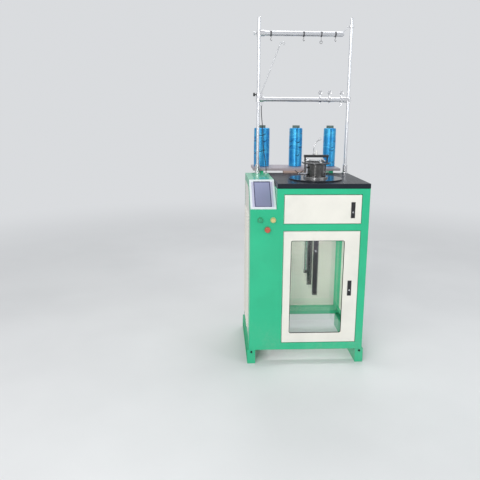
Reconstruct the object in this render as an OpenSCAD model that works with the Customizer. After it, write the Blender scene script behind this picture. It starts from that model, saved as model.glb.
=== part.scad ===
// Small-diameter circular knitting machine: steel cabinet with two front doors, sloped control
// console, knitting head on the table top, hanging cloth take-down and a rear yarn stand.
// Origin on the floor at the centre of the four anchor holes. X to the right, Y to the rear, Z up.

/* [Cabinet] */
// Width of the cabinet body
cabinet_w = 700; // [680:5:900]
// Depth of the cabinet body, front face to rear face
cabinet_d = 550; // [530:5:800]
// Height of the body's lower edge above the floor
body_bottom = 89; // [75:1:140]
// Height of the body's upper edge, under the table top
body_top = 1088; // [1080:1:1180]
// Thickness of the front sheet and of the console sheet
sheet_t = 2; // [1.5:0.5:3]
// Thickness of the folded door and panel sheet
panel_t = 1.5; // [1:0.5:2]
// Width of the channel section that frames both cabinet sides
rail_w = 40; // [34:1:46]
// Height of the bottom rails
bottom_rail_h = 60; // [44:1:80]
// Wall of the rails
rail_t = 2.5; // [2:0.5:4]
// Depth of the folded edges of the side and rear panels
panel_edge = 20; // [8:1:24]
// Gap between a fixed panel and the rails round it
panel_gap = 0.3; // [0.2:0.1:1]
// Width of the left side frame's front band
side_band = 110; // [40:5:140]
// Width of the rear posts' inner faces
post_w = 62; // [42:1:80]
// How far the rear bottom rail sits above the frame's lower edge
rear_rail_up = 15; // [0:1:30]
// How far the vent louvres stand out of their panel
louvre_out = 7; // [5:0.5:9]
// Spacing of the louvres
louvre_pitch = 20; // [17:1:30]
// Height of the slits behind the louvres
vent_h = 5; // [3:0.5:6]

/* [Console] */
// Width of the control column on the left
column_w = 157; // [150:1:180]
// Height at which the sloped console face begins
console_low = 965; // [940:1:1000]
// Depth over which the console face rises to the table's level
console_run = 175; // [140:5:230]
// Length of the screen panel's frame, along the slope
bezel_l = 226; // [200:1:228]
// Width of the screen panel's frame
bezel_w = 152; // [130:1:154]
// Thickness of the screen panel's frame
bezel_t = 6; // [4:0.5:10]
// Length of the display, along the slope
screen_l = 197; // [150:1:198]
// Width of the display
screen_w = 100; // [80:1:110]
// Height of the start and jog buttons above the floor
button_high = 904; // [890:1:930]
// Height of the stop button above the floor
button_low = 847; // [800:1:860]
// Outer diameter of a button's collar
collar_d = 35; // [30:1:40]
// Diameter of the panel hole behind a collar
button_hole_d = 22; // [20:0.5:24]
// Travel of the push buttons
button_travel = 4; // [2:0.5:5]

/* [Doors] */
// Width of the front strip between the control column and the doors
hinge_strip = 43; // [40:1:60]
// Width of the front strip right of the doors
latch_strip = 48; // [44:1:80]
// Height of the front strip above the upper door
top_strip = 37; // [33:1:60]
// Height of the front strip under the lower door
bottom_strip = 48; // [40:1:80]
// Height of the upper door
upper_door_h = 169; // [150:1:190]
// Height of the front strip between the doors
mid_strip = 47; // [44:1:70]
// Gap round each door
door_gap = 3.5; // [3.5:0.1:5]
// Depth of the folded doors
door_d = 18; // [16:1:24]
// Distance from a hinge axis to the door's front and left faces
hinge_inset = 7; // [6.5:0.5:8]
// Diameter of the hinge pins
hinge_pin_d = 5; // [4:0.5:6]
// Radial running clearance of pins, buttons and shafts
run_gap = 0.05; // [0.02:0.01:0.09]
// Width of the door frame left of the window
window_side_l = 43; // [36:1:70]
// Width of the door frame right of the window
window_side_r = 89; // [85:1:130]
// Height of the door frame above the window
window_above = 56; // [40:1:90]
// Height of the door frame under the window
window_below = 59; // [40:1:90]
// Corner radius of the window
window_r = 12; // [6:1:30]
// Thickness of the clear window pane
pane_t = 3; // [2:0.5:5]
// How far the pane reaches past the window's edge
pane_lap = 14; // [8:1:20]

/* [Latches] */
// Width of a latch's front plate
latch_w = 24; // [22:1:28]
// Height of a latch's front plate
latch_h = 95; // [90:1:110]
// How far a latch's front plate stands out of the door
latch_rim = 1.5; // [1:0.5:3]
// Depth of a latch's case behind the door's front face
latch_d = 16; // [14:1:24]
// Distance from the latch's middle line to the door's right edge
latch_in = 49; // [40:1:60]
// Height of the upper latch's middle above the upper door's lower edge
upper_latch_up = 79.5; // [65:0.5:100]
// Height of the lower latch's middle above the lower door's lower edge
lower_latch_up = 346; // [200:1:500]
// Thickness of a latch lever
lever_t = 5; // [4:0.5:6]
// Length of a latch lever
lever_l = 44; // [40:1:50]
// Diameter of a latch's press button
latch_button_d = 9; // [7:0.5:11]
// Travel of a latch's press button
latch_travel = 2.5; // [1.5:0.5:4]

/* [Table and skids] */
// Thickness of the table top
table_t = 29; // [20:1:40]
// How far the table top's front edge stands out over the front face
table_nose = 3; // [0:1:20]
// Width of the skids
skid_w = 49; // [46:1:60]
// How far the skids stand out past the cabinet's sides
skid_out = 9; // [0:1:20]
// Wall of the skids
skid_t = 4; // [3:0.5:6]
// Distance from a skid's end to its anchor holes
anchor_in = 55; // [45:1:120]
// Diameter of the anchor holes
anchor_d = 14; // [10:1:18]

/* [Knitting head] */
// Place of the head's axis, to the right of the cabinet's middle
head_x = 67; // [40:1:100]
// Distance from the front face to the head's axis
head_in = 215; // [205:1:260]
// Radius of the round plate on the table
plate_r = 163; // [130:1:165]
// Thickness of the round plate
plate_t = 8; // [5:0.5:14]
// Radius of the bright bearing flange
flange_r = 75; // [70:1:90]
// Thickness of the bearing flange
flange_t = 10; // [8:1:16]
// Outer radius of the polished cam drum
drum_r = 51; // [49:0.5:56]
// Height of the cam drum
drum_h = 76; // [70:1:90]
// Outer radius of the needle cylinder
cylinder_r = 42; // [38:0.5:43]
// Wall of the needle cylinder
cylinder_wall = 8; // [7:0.5:10]
// How far the needle cylinder stands above the cam drum
cylinder_over = 11; // [6:1:16]
// Number of needle slots
needle_count = 48; // [24:6:60]
// Width of a needle slot
slot_w = 1.4; // [1.2:0.1:1.8]
// Depth of a needle slot
slot_depth = 3.6; // [3.4:0.1:4]
// Length of the needle slots
slot_l = 62; // [50:1:66]
// Thickness of a needle
needle_t = 1.1; // [0.8:0.1:1.1]
// Length of a needle's thin stem above the cylinder
needle_over = 12; // [8:1:18]
// Outer radius of the feeder ring
ring_r = 87; // [84:1:100]
// Inner radius of the feeder ring
ring_in_r = 62; // [58:1:66]
// Height of the feeder ring's underside above the bearing flange
ring_up = 77; // [70:1:95]
// Thickness of the feeder ring
ring_t = 11; // [8:1:16]
// Number of yarn feeders
feeder_count = 3; // [2:1:4]
// Length of the black guide bridge
bridge_l = 150; // [146:1:170]
// Height of the bridge's underside above the feeder ring
bridge_up = 28; // [24:1:40]
// Thickness of the bridge
bridge_t = 15; // [10:1:20]

/* [Drive] */
// Outer radius of the hollow spindle
spindle_r = 37; // [34:0.5:38]
// Wall of the hollow spindle
spindle_wall = 5; // [4:0.5:8]
// Outer radius of the spindle's pulley
main_pulley_r = 84; // [74:1:90]
// Outer radius of the motor's pulley
motor_pulley_r = 28; // [24:1:36]
// Width of both pulleys
pulley_h = 24; // [22:1:30]
// Place of the motor's shaft, to the right of the head's axis
motor_dx = 153; // [145:1:165]
// Place of the motor's shaft, behind the head's axis
motor_dy = 172; // [160:1:185]
// Radius of the motor's housing
motor_r = 58; // [48:1:60]
// Length of the motor's housing
motor_l = 150; // [120:5:160]
// Distance from the table's underside to the motor's plate
motor_drop = 66; // [60:1:80]

/* [Take-down] */
// Distance of each take-down leg from the head's axis
leg_off = 95; // [80:1:100]
// Width of the take-down legs
leg_w = 30; // [26:1:40]
// Thickness of the take-down legs
leg_t = 10; // [6:1:14]
// Height of the legs' lower ends above the floor
leg_low = 398; // [395:1:500]
// Height of the take-down rollers' axes above the floor
roller_z = 850; // [820:1:880]
// Radius of the take-down rollers
roller_r = 19; // [14:0.5:22]
// Gap between the two rollers, for the cloth
roller_gap = 1; // [0.5:0.5:3]
// Diameter of the bright rod beside the rear leg
rod_d = 13; // [10:0.5:15]
// Diameter of the thin rod beside it
thin_rod_d = 5; // [4:0.5:7]
// Distance from the legs' lower ends to the bright rod's lower end
rod_up = 102; // [60:1:160]

/* [Yarn stand] */
// Diameter of the two poles
pole_d = 20; // [16:1:26]
// Height of the poles' tops above the floor
pole_top = 2120; // [2080:5:2300]
// Distance from the poles to the cabinet's rear face
pole_in = 25; // [22:1:40]
// Distance from the left pole to the cabinet's left side
pole_left_in = 81; // [70:1:100]
// Distance from the right pole to the cabinet's right side
pole_right_in = 21; // [20:1:40]
// Height of the middle bar's axis above the floor
mid_bar_z = 1605; // [1560:1:1700]
// Diameter of the middle bar
mid_bar_d = 28; // [24:1:30]
// Distance from the poles' tops down to the top bar's axis
top_bar_drop = 102; // [70:1:160]
// Diameter of the top bar
top_bar_d = 31; // [26:1:32]
// Gap between the top bar's right end and the right pole
top_bar_short = 46; // [40:1:120]
// Diameter of the tension discs
disc_d = 26; // [22:1:30]

/* [Creel] */
// Width of the creel board
board_w = 598; // [560:1:680]
// Depth of the creel board
board_d = 255; // [240:5:300]
// Thickness of the creel board
board_t = 16; // [12:1:24]
// Height of the creel board's underside above the table
board_up = 14; // [10:1:20]
// Length of the block under the creel board
block_w = 190; // [120:5:260]
// Depth of the block under the creel board
block_d = 45; // [30:1:60]
// Diameters of the yarn packages, from left to right
yarn_d = [114, 96, 90]; // [80:1:120]
// Height of the wound yarn on a package
yarn_h = 268; // [200:1:300]
// Outer diameter of the yarn tubes
tube_d = 50; // [40:1:60]
// How far a yarn tube stands out of its yarn
tube_over = 18; // [8:1:30]

/* [Hidden] */
$fn = 64;

// Margin by which a cut runs past the faces that it opens
cut = 1;
// Room for the hinge pins' heads between a folded edge and the rail behind it
pin_room = 8;

left_x = -cabinet_w / 2;
right_x = cabinet_w / 2;
front_y = -cabinet_d / 2;
rear_y = cabinet_d / 2;
table_z = body_top + table_t;
column_x = left_x + column_w;
rail_front_y = front_y + sheet_t;
// How much wider than the other bands the left side frame's front band is
band_more = side_band - rail_w;

// Console slope: its angle above the level, and its length
slope = atan2(table_z - console_low, console_run);
slope_l = norm([table_z - console_low, console_run]);

// Height at which the slope, moved inwards by o, meets the upright plane o behind the front face
function slope_z(o) = console_low - o * cos(slope) + o * (1 - sin(slope)) * tan(slope);
// Depth at which the slope, moved inwards by o, meets the level plane o under the table's level
function slope_y(o) = front_y + o * sin(slope)
  + (table_z - console_low - o + o * cos(slope)) / tan(slope);

// Outline of the left side frame in Y and Z, m inside its outer edge, b above its bottom edge and
// f further in at the front
function left_outline(m, b, f = 0) = [
  [rail_front_y + m + f, body_bottom + b], [rear_y - m, body_bottom + b],
  [rear_y - m, table_z - sheet_t - m], [slope_y(sheet_t + m), table_z - sheet_t - m],
  [rail_front_y + m + f, slope_z(sheet_t + m) + f * tan(slope)]];
// Outline of the right side frame in Y and Z
function right_outline(m, b) = [
  [rail_front_y + m, body_bottom + b], [rear_y - m, body_bottom + b],
  [rear_y - m, body_top - m], [rail_front_y + m, body_top - m]];

// Doors: each is [left, right, bottom, top]
door_left = column_x + hinge_strip;
door_right = right_x - latch_strip;
upper_top = body_top - top_strip;
upper_bottom = upper_top - upper_door_h;
lower_top = upper_bottom - mid_strip;
lower_bottom = body_bottom + bottom_strip;
hinge_x = door_left + hinge_inset;
hinge_y = front_y + hinge_inset;
hinge_boss_l = 12;
hinge_head_l = 3;
window_l = door_left + window_side_l;
window_right = door_right - window_side_r;
window_bottom = lower_bottom + window_below;
window_top = lower_top - window_above;
latch_x = door_right - latch_in;
upper_latch_z = upper_bottom + upper_latch_up;
lower_latch_z = lower_bottom + lower_latch_up;

// Clearance of a latch's case in its door and of its lever in the case
case_gap = 0.3;

// Buttons: collar in front of the sheet, stem in the barrel behind it
collar_t = 5;
button_stem_d = 14;
// Depth of the recess that holds the display
screen_in = 3;

// Louvres of the left and rear panels: sheet of a hood, how far it hangs below its slit, ribs
// between the columns and margin round them
hood_t = 1;
hood_drop = 3;
vent_rib = 14;
vent_margin = 30;
rear_vent_x = -224;
rear_vent_z = 380;
rear_vent_l = 130;
rear_vent_rows = 20;

// Arms behind the cabinet that carry the creel board
creel_arm_x = cabinet_w / 2 - 110;
arm_w = 30;
arm_t = 6;

// Knitting head
head_y = front_y + head_in;
flange_z = table_z + plate_t;
drum_z = flange_z + flange_t;
drum_top = drum_z + drum_h;
cylinder_top = drum_top + cylinder_over;
cylinder_z = drum_z + 4;
needle_butt_z = drum_z + 34;
butt_h = 4;
butt_out = 3;
thrust_gap = 0.3;
feeder_turn = -80;
bracket_out = drum_r + 1;
lever_pivot_x = -bracket_out - 54;
housing_r = spindle_r + 16;
housing_low = body_top - 22;
ring_z = drum_z + ring_up;
ring_top = ring_z + ring_t;
bridge_z = ring_top + bridge_up;
post_r = 5;
post_at = flange_r - post_r - 2;

// Drive: pulley level, motor axis and belt run
pulley_z = housing_low - 8 - pulley_h;
motor_x = head_x + motor_dx;
motor_y = head_y + motor_dy;
motor_plate_t = 8;
motor_plate_z = body_top - motor_drop - motor_plate_t;
motor_plate_s = 150;
belt_t = 7;
belt_w = 10;
belt_gap = 0.3;
groove_d = 9;
motor_shaft_r = 7;

// Take-down: spindle's lower end, rollers and rods
spindle_low = pulley_z - 36;
roller_x = roller_r + roller_gap / 2;
roller_shaft_r = 6;
bearing_h = 70;
bearing_w = 110;
rod_x = -leg_w / 2 - rod_d / 2 - 1.2;
thin_rod_x = rod_x - rod_d / 2 - thin_rod_d / 2 - 1.5;
lug_h = 20;
lug_floor = 4;

// Yarn stand
pole_y = rear_y - pole_in;
pole_lx = left_x + pole_left_in;
pole_rx = right_x - pole_right_in;
board_y = rear_y - 5;
board_z = table_z + board_up;
board_top = board_z + board_t;
board_x = left_x + 55;
block_x = board_x + 205;
yarn_x = [board_x + 69, board_x + 310, board_x + board_w - 46];
yarn_y = board_y + 165;
tension_x = [pole_rx - 190, pole_rx - 128, pole_rx - 48];
guide_x = [pole_lx + 76, pole_lx + 288, pole_rx - 103];
loop_x = pole_rx - 195;
fit_gap = 0.1;
guide_rod_d = 6;
top_bar_z = pole_top - top_bar_drop;
stay_z = pole_top - 54;
sleeve_r = pole_d / 2 + 6;
sleeve_h = 36;
foot_sleeve_h = 60;
rod_collar_h = 25;
rod_collar_z = mid_bar_z + sleeve_h / 2 - 1;
socket_l = 34;
top_end_d = top_bar_d - 14;
top_bar_l = pole_rx - pole_d / 2 - top_bar_short;

// Signal cable: its diameter, its gland on the console and its route to the left clamp
cable_d = 5;
cable_x = pole_lx + 57;
cable_y = pole_y - 16;
gland_hole_d = 12;
cable_sides = 8;
cable_rings = 44;
cable_foot = [cable_x, cable_y, table_z - 12];
cable_end = [pole_lx + 21, pole_y, mid_bar_z - 34];

// Rise from 0 to 1 that starts and ends level
function eased(t) = let (s = min(max(t, 0), 1)) s * s * (3 - 2 * s);
// Point of the cable at share t of its rise: it leans to the pole in two soft steps
function cable_route(t) =
  let (lean = 0.65 * eased((t - 0.06) / 0.44) + 0.35 * eased((t - 0.55) / 0.4),
    back = eased((t - 0.04) / 0.9), run = cable_end - cable_foot)
  cable_foot + [run[0] * lean, run[1] * back, run[2] * t];

// Rod of diameter d through a list of points, with ball corners
module rod_path(points, d) {
  for (i = [0:len(points) - 2]) {
    v = points[i + 1] - points[i];
    translate(points[i])
      rotate([0, acos(v[2] / norm(v)), atan2(v[1], v[0])])
        cylinder(h = norm(v), d = d, $fn = 24);
  }
  if (len(points) > 2)
    for (i = [1:len(points) - 2])
      translate(points[i]) sphere(d = d * 1.04, $fn = 24);
}

// Rectangle in X and Z at depth y, t thick towards the rear, from [left, right, bottom, top]
module front_plate(y, t, a) {
  translate([a[0], y, a[2]]) cube([a[1] - a[0], t, a[3] - a[2]]);
}

// Plate across X made from an outline in Y and Z
module side_plate(x, t, points) {
  translate([x, 0, 0]) rotate([90, 0, 90]) linear_extrude(t) polygon(points);
}

// Folded channel that follows an outline, with its web on the outer side
module channel_ring(x, to_right, outer, web, lip, inner) {
  difference() {
    side_plate(to_right ? x : x - rail_w, rail_w, outer);
    side_plate(to_right ? x - cut : x - rail_w - cut, rail_w + 2 * cut, inner);
    difference() {
      side_plate(to_right ? x + rail_t : x - rail_w - cut, rail_w - rail_t + cut, web);
      side_plate(to_right ? x : x - rail_w - 2 * cut, rail_w + 3 * cut, lip);
    }
  }
}

module skid(x) {
  h = body_bottom;
  l = cabinet_d;
  translate([x, -l / 2, 0]) difference() {
    cube([skid_w, l, h]);
    // Open outer side
    translate([-cut, skid_t, skid_t])
      cube([skid_w - skid_t + cut, l - 2 * skid_t, h - 2 * skid_t]);
    for (y = [anchor_in, l - anchor_in])
      translate([skid_w / 2, y, -cut]) cylinder(h = skid_t + 2 * cut, d = anchor_d);
  }
}

module skids() {
  color([0.24, 0.78, 0.58]) {
    skid(left_x - skid_out);
    mirror([1, 0, 0]) skid(left_x - skid_out);
  }
}

module base_frame() {
  rail_x0 = left_x + rail_w;
  rail_l = cabinet_w - 2 * rail_w;
  edge_x = door_left - door_gap - sheet_t;
  edge_room = door_gap + sheet_t + pin_room;
  front_l = right_x - rail_w - edge_x;
  low_h = bottom_strip - edge_room;
  color([0.22, 0.7, 0.52]) {
    channel_ring(left_x, true, left_outline(0, 0), left_outline(rail_t, rail_t),
      left_outline(rail_w - rail_t, bottom_rail_h - rail_t, band_more),
      left_outline(rail_w, bottom_rail_h, band_more));
    channel_ring(right_x, false, right_outline(0, 0), right_outline(rail_t, rail_t),
      right_outline(rail_w - rail_t, bottom_rail_h - rail_t), right_outline(rail_w, bottom_rail_h));
    // Bottom rails, open downwards
    bottom_rail(rail_front_y, body_bottom, low_h, rail_x0, rail_l);
    bottom_rail(rear_y - rail_w, body_bottom + rear_rail_up, bottom_rail_h, rail_x0, rail_l);
    // Inner faces of the rear posts
    for (s = [0, 1]) mirror([s, 0, 0])
      front_plate(rear_y - rail_w, rail_t, [right_x - post_w, right_x - rail_w + cut,
        body_bottom + rear_rail_up + bottom_rail_h - cut, body_top - rail_w + cut]);
    // Top rear rail, open upwards
    difference() {
      translate([rail_x0, rear_y - rail_w, body_top - rail_w]) cube([rail_l, rail_w, rail_w]);
      translate([rail_x0 - cut, rear_y - rail_w + rail_t, body_top - rail_w + rail_t])
        cube([rail_l + 2 * cut, rail_w - 2 * rail_t, rail_w]);
    }
    // Front post beside the control column, open to the rear
    difference() {
      translate([column_x, rail_front_y, body_bottom + low_h])
        cube([edge_x - column_x, rail_w, body_top - body_bottom - low_h]);
      translate([column_x + rail_t, rail_front_y + rail_t, body_bottom + low_h - cut])
        cube([edge_x - column_x - 2 * rail_t, rail_w, body_top - body_bottom - low_h + 2 * cut]);
    }
    // Flat rails between the doors and above them
    front_plate(rail_front_y, 4 * rail_t,
      [edge_x, edge_x + front_l, lower_top + edge_room, upper_bottom - edge_room]);
    front_plate(rail_front_y, 4 * rail_t,
      [edge_x, edge_x + front_l, upper_top + edge_room, body_top]);
    // Wall between the control column and the cloth compartment
    translate([column_x - panel_t, rail_front_y, body_bottom + bottom_rail_h])
      cube([panel_t, rear_y - rail_w - rail_front_y + 1, body_top - body_bottom - bottom_rail_h]);
    for (x = [-1, 1]) creel_arm(x * creel_arm_x);
  }
}

module bottom_rail(y, z, h, x, l) {
  difference() {
    translate([x, y, z]) cube([l, rail_w, h]);
    translate([x - cut, y + rail_t, z - cut])
      cube([l + 2 * cut, rail_w - 2 * rail_t, h - rail_t + cut]);
  }
}

// Bent arm on the rear rail that carries the creel board
module creel_arm(x) {
  h = board_z - body_top + rail_w;
  translate([x - arm_w / 2, rear_y, body_top - rail_w]) {
    cube([arm_w, arm_t, h]);
    translate([0, 0, h - arm_t]) cube([arm_w, board_d - 25, arm_t]);
    translate([(arm_w - arm_t) / 2, 0, 0])
      rotate([90, 0, 90]) linear_extrude(arm_t)
        polygon([[0, 0], [arm_t, 0], [board_d - 60, h - arm_t], [0, h - arm_t]]);
  }
}

// Opening in the front sheet for a door between heights z0 and z1
module door_cut(z0, z1) {
  front_plate(front_y - cut, sheet_t + 2 * cut,
    [door_left - door_gap, door_right + door_gap, z0 - door_gap, z1 + door_gap]);
}

// Folded edges round a door's opening, with the holes for its hinge pins
module door_edge(z0, z1) {
  x0 = door_left - door_gap;
  x1 = door_right + door_gap;
  difference() {
    front_plate(front_y, door_d,
      [x0 - sheet_t, x1 + sheet_t, z0 - door_gap - sheet_t, z1 + door_gap + sheet_t]);
    front_plate(front_y - cut, door_d + 2 * cut, [x0, x1, z0 - door_gap, z1 + door_gap]);
    for (z = [z0 - door_gap - sheet_t, z1 + door_gap])
      translate([hinge_x, hinge_y, z - cut])
        cylinder(h = sheet_t + 2 * cut, d = hinge_pin_d + 2 * run_gap);
  }
}

module front_fascia() {
  console_r = column_w - panel_t;
  color([0.24, 0.78, 0.58]) {
    difference() {
      union() {
        translate([0, rail_front_y, 0]) rotate([90, 0, 0]) linear_extrude(sheet_t)
          polygon([[left_x, body_bottom], [right_x, body_bottom], [right_x, body_top],
            [column_x, body_top], [column_x, console_low], [left_x, console_low]]);
        // Console slope and top, one folded sheet
        side_plate(left_x, console_r, [[front_y, console_low], [slope_y(0), table_z],
          [rear_y, table_z], [rear_y, table_z - sheet_t], [slope_y(sheet_t), table_z - sheet_t],
          [rail_front_y, slope_z(sheet_t)], [rail_front_y, console_low - sheet_t],
          [front_y, console_low - sheet_t]]);
        // Folded right edge of the console's top, cut away over the rear rail
        side_plate(left_x + console_r - sheet_t, sheet_t, [[slope_y(0) + 4, body_top - 20],
          [rear_y - rail_w, body_top - 20], [rear_y - rail_w, body_top], [rear_y, body_top],
          [rear_y, table_z - sheet_t / 2], [slope_y(0) + 4, table_z - sheet_t / 2]]);
      }
      door_cut(lower_bottom, lower_top);
      door_cut(upper_bottom, upper_top);
      button_places() translate([0, -cut, 0]) turned_to_front() cylinder(h = sheet_t + 2 * cut,
        d = button_hole_d);
      translate([cable_x, cable_y, table_z - sheet_t - cut])
        cylinder(h = sheet_t + 2 * cut, d = gland_hole_d);
    }
    door_edge(lower_bottom, lower_top);
    door_edge(upper_bottom, upper_top);
  }
}

// Turns a shape that stands along Z so that it runs from the front face to the rear, along Y
module turned_to_front() {
  rotate([-90, 0, 0]) children();
}

module table_top() {
  nose_r = table_t / 4;
  color([0.16, 0.19, 0.22]) difference() {
    union() {
      translate([column_x, front_y - table_nose + nose_r, body_top])
        cube([right_x - column_x, cabinet_d + table_nose - nose_r, table_t]);
      translate([column_x, front_y - table_nose, body_top + nose_r])
        cube([right_x - column_x, 2 * nose_r, table_t - 2 * nose_r]);
      for (z = [nose_r, table_t - nose_r])
        translate([column_x, front_y - table_nose + nose_r, body_top + z])
          rotate([0, 90, 0]) cylinder(h = right_x - column_x, r = nose_r);
    }
    translate([head_x, head_y, body_top - cut]) cylinder(h = table_t + 2 * cut,
      r = housing_r + 0.5);
  }
}

// Folded panel with a rim, from an outline function's outer and inner points
module pan(x, into, outer, inner) {
  difference() {
    side_plate(into > 0 ? x : x - panel_edge, panel_edge, outer);
    side_plate(into > 0 ? x + panel_t : x - panel_edge - cut, panel_edge - panel_t + cut, inner);
  }
}

// Slit behind a louvre of length l along Y, in a sheet whose outer face lies at X = 0 and looks to -X
module louvre_slit(l) {
  translate([-cut, hood_t, hood_drop]) cube([panel_t + 2 * cut, l - 2 * hood_t, vent_h]);
}

// Pressed hood over the slit: it slopes outwards, is closed at its ends and opens downwards
module louvre_hood(l) {
  root = panel_t / 3;
  top = hood_drop + vent_h;
  difference() {
    upright_prism(l, [[root, top + 2 * hood_t], [-louvre_out, hood_t], [-louvre_out, 0], [root, 0]]);
    translate([0, hood_t, 0]) upright_prism(l - 2 * hood_t, [[root + cut, top], [0, top],
      [hood_t - louvre_out, hood_t], [hood_t - louvre_out, -cut], [root + cut, -cut]]);
  }
}

// Prism of length l along Y from an outline in X and Z
module upright_prism(l, points) {
  translate([0, l, 0]) rotate([90, 0, 0]) linear_extrude(l) polygon(points);
}

module left_panel() {
  e = rail_w + panel_gap;
  b = bottom_rail_h + panel_gap;
  y0 = rail_front_y + band_more + e + vent_margin;
  z0 = body_bottom + b + vent_margin;
  rows = floor((console_low - vent_margin - z0) / louvre_pitch);
  col_l = (rear_y - e - vent_margin - y0 - 2 * vent_rib) / 3;
  color([0.93, 0.91, 0.84]) {
    difference() {
      pan(left_x, 1, left_outline(e, b, band_more),
        left_outline(e + panel_t, b + panel_t, band_more));
      for (row = [0:rows - 1], col = [0:2])
        translate([left_x, y0 + col * (col_l + vent_rib), z0 + row * louvre_pitch])
          louvre_slit(col_l);
    }
    for (row = [0:rows - 1], col = [0:2])
      translate([left_x, y0 + col * (col_l + vent_rib), z0 + row * louvre_pitch])
        louvre_hood(col_l);
  }
}

module right_panel() {
  e = rail_w + panel_gap;
  b = bottom_rail_h + panel_gap;
  color([0.95, 0.93, 0.86])
    pan(right_x, -1, right_outline(e, b), right_outline(e + panel_t, b + panel_t));
}

// Places a louvre of the rear panel so that its hood stands out to the rear
module rear_louvre(row, col) {
  translate([rear_vent_x + col * (rear_vent_l + vent_rib), rear_y,
      rear_vent_z + row * louvre_pitch])
    rotate([0, 0, -90]) children();
}

module rear_panel() {
  w = cabinet_w - 2 * rail_w - 2 * panel_gap;
  z0 = body_bottom + rear_rail_up + bottom_rail_h + panel_gap;
  h = body_top - rail_w - panel_gap - z0;
  color([0.95, 0.93, 0.86]) {
    difference() {
      translate([-w / 2, rear_y - panel_edge, z0]) cube([w, panel_edge, h]);
      translate([-w / 2 + panel_t, rear_y - panel_edge - cut, z0 + panel_t])
        cube([w - 2 * panel_t, panel_edge - panel_t + cut, h - 2 * panel_t]);
      for (row = [0:rear_vent_rows - 1], col = [0:1])
        rear_louvre(row, col) louvre_slit(rear_vent_l);
    }
    for (row = [0:rear_vent_rows - 1], col = [0:1])
      rear_louvre(row, col) louvre_hood(rear_vent_l);
  }
}

// Folded door without openings, from height z0 to z1, with its two hinge bosses
module door_pan(z0, z1) {
  h = z1 - z0;
  w = door_right - door_left;
  translate([door_left, front_y, z0]) difference() {
    union() {
      difference() {
        cube([w, door_d, h]);
        translate([panel_t, panel_t, panel_t])
          cube([w - 2 * panel_t, door_d, h - 2 * panel_t]);
      }
      for (z = [0, h - hinge_boss_l])
        translate([hinge_inset, hinge_inset, z])
          cylinder(h = hinge_boss_l, d = hinge_pin_d + 5);
    }
    for (z = [-cut, h - hinge_boss_l])
      translate([hinge_inset, hinge_inset, z])
        cylinder(h = hinge_boss_l + cut, d = hinge_pin_d + 2 * run_gap);
  }
}

// Hole in a door for a latch whose middle is at height z
module latch_cut(z) {
  w = latch_w - 4 + 2 * case_gap;
  h = latch_h - 8 + 2 * case_gap;
  translate([latch_x - w / 2, front_y - cut, z - h / 2]) cube([w, panel_t + 2 * cut, h]);
}

module upper_door() {
  color([0.98, 0.96, 0.9]) difference() {
    door_pan(upper_bottom, upper_top);
    latch_cut(upper_latch_z);
  }
}

module lower_door() {
  w = window_right - window_l;
  h = window_top - window_bottom;
  color([0.98, 0.96, 0.9]) difference() {
    door_pan(lower_bottom, lower_top);
    latch_cut(lower_latch_z);
    translate([window_l, front_y + panel_t + cut, window_bottom]) rotate([90, 0, 0])
      linear_extrude(panel_t + 2 * cut) rounded_rect(w, h, window_r);
  }
}

// Rectangle with round corners, from the origin
module rounded_rect(w, h, r) {
  difference() {
    square([w, h]);
    for (x = [0, 1], y = [0, 1])
      translate([x * w, y * h]) mirror([x, 0]) mirror([0, y]) difference() {
        translate([-cut, -cut]) square([r + cut, r + cut]);
        translate([r, r]) circle(r = r);
      }
  }
}

module window_pane() {
  w = window_right - window_l + 2 * pane_lap;
  h = window_top - window_bottom + 2 * pane_lap;
  color([0.8, 0.87, 0.9, 0.3])
    translate([window_l - pane_lap, front_y + panel_t + pane_t, window_bottom - pane_lap])
      rotate([90, 0, 0]) linear_extrude(pane_t) rounded_rect(w, h, window_r);
}

// Hinge pin with its head outside a folded edge; up is 1 at a door's top, -1 at its foot
module hinge_pin(z, up) {
  shank = sheet_t + door_gap + hinge_boss_l - 2;
  translate([hinge_x, hinge_y, z]) mirror([0, 0, up > 0 ? 0 : 1]) {
    translate([0, 0, -shank]) cylinder(h = shank, d = hinge_pin_d);
    cylinder(h = hinge_head_l, d = hinge_pin_d + 3);
  }
}

module hinge_pins() {
  edge = door_gap + sheet_t;
  color([0.75, 0.76, 0.78]) {
    hinge_pin(upper_top + edge, 1);
    hinge_pin(upper_bottom - edge, -1);
    hinge_pin(lower_top + edge, 1);
    hinge_pin(lower_bottom - edge, -1);
  }
}

// Latch parts, drawn about the middle of the latch on the door's front face
lever_w = latch_w - 8;
lever_top = latch_h / 2 - 9;
lever_pin_z = lever_top - lever_t / 2;
lever_pin_y = lever_t / 2 - latch_rim + 0.5;
button_z = lever_top - lever_l - latch_button_d / 2 - 2.5;
key_z = -latch_h / 2 + 12;

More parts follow.
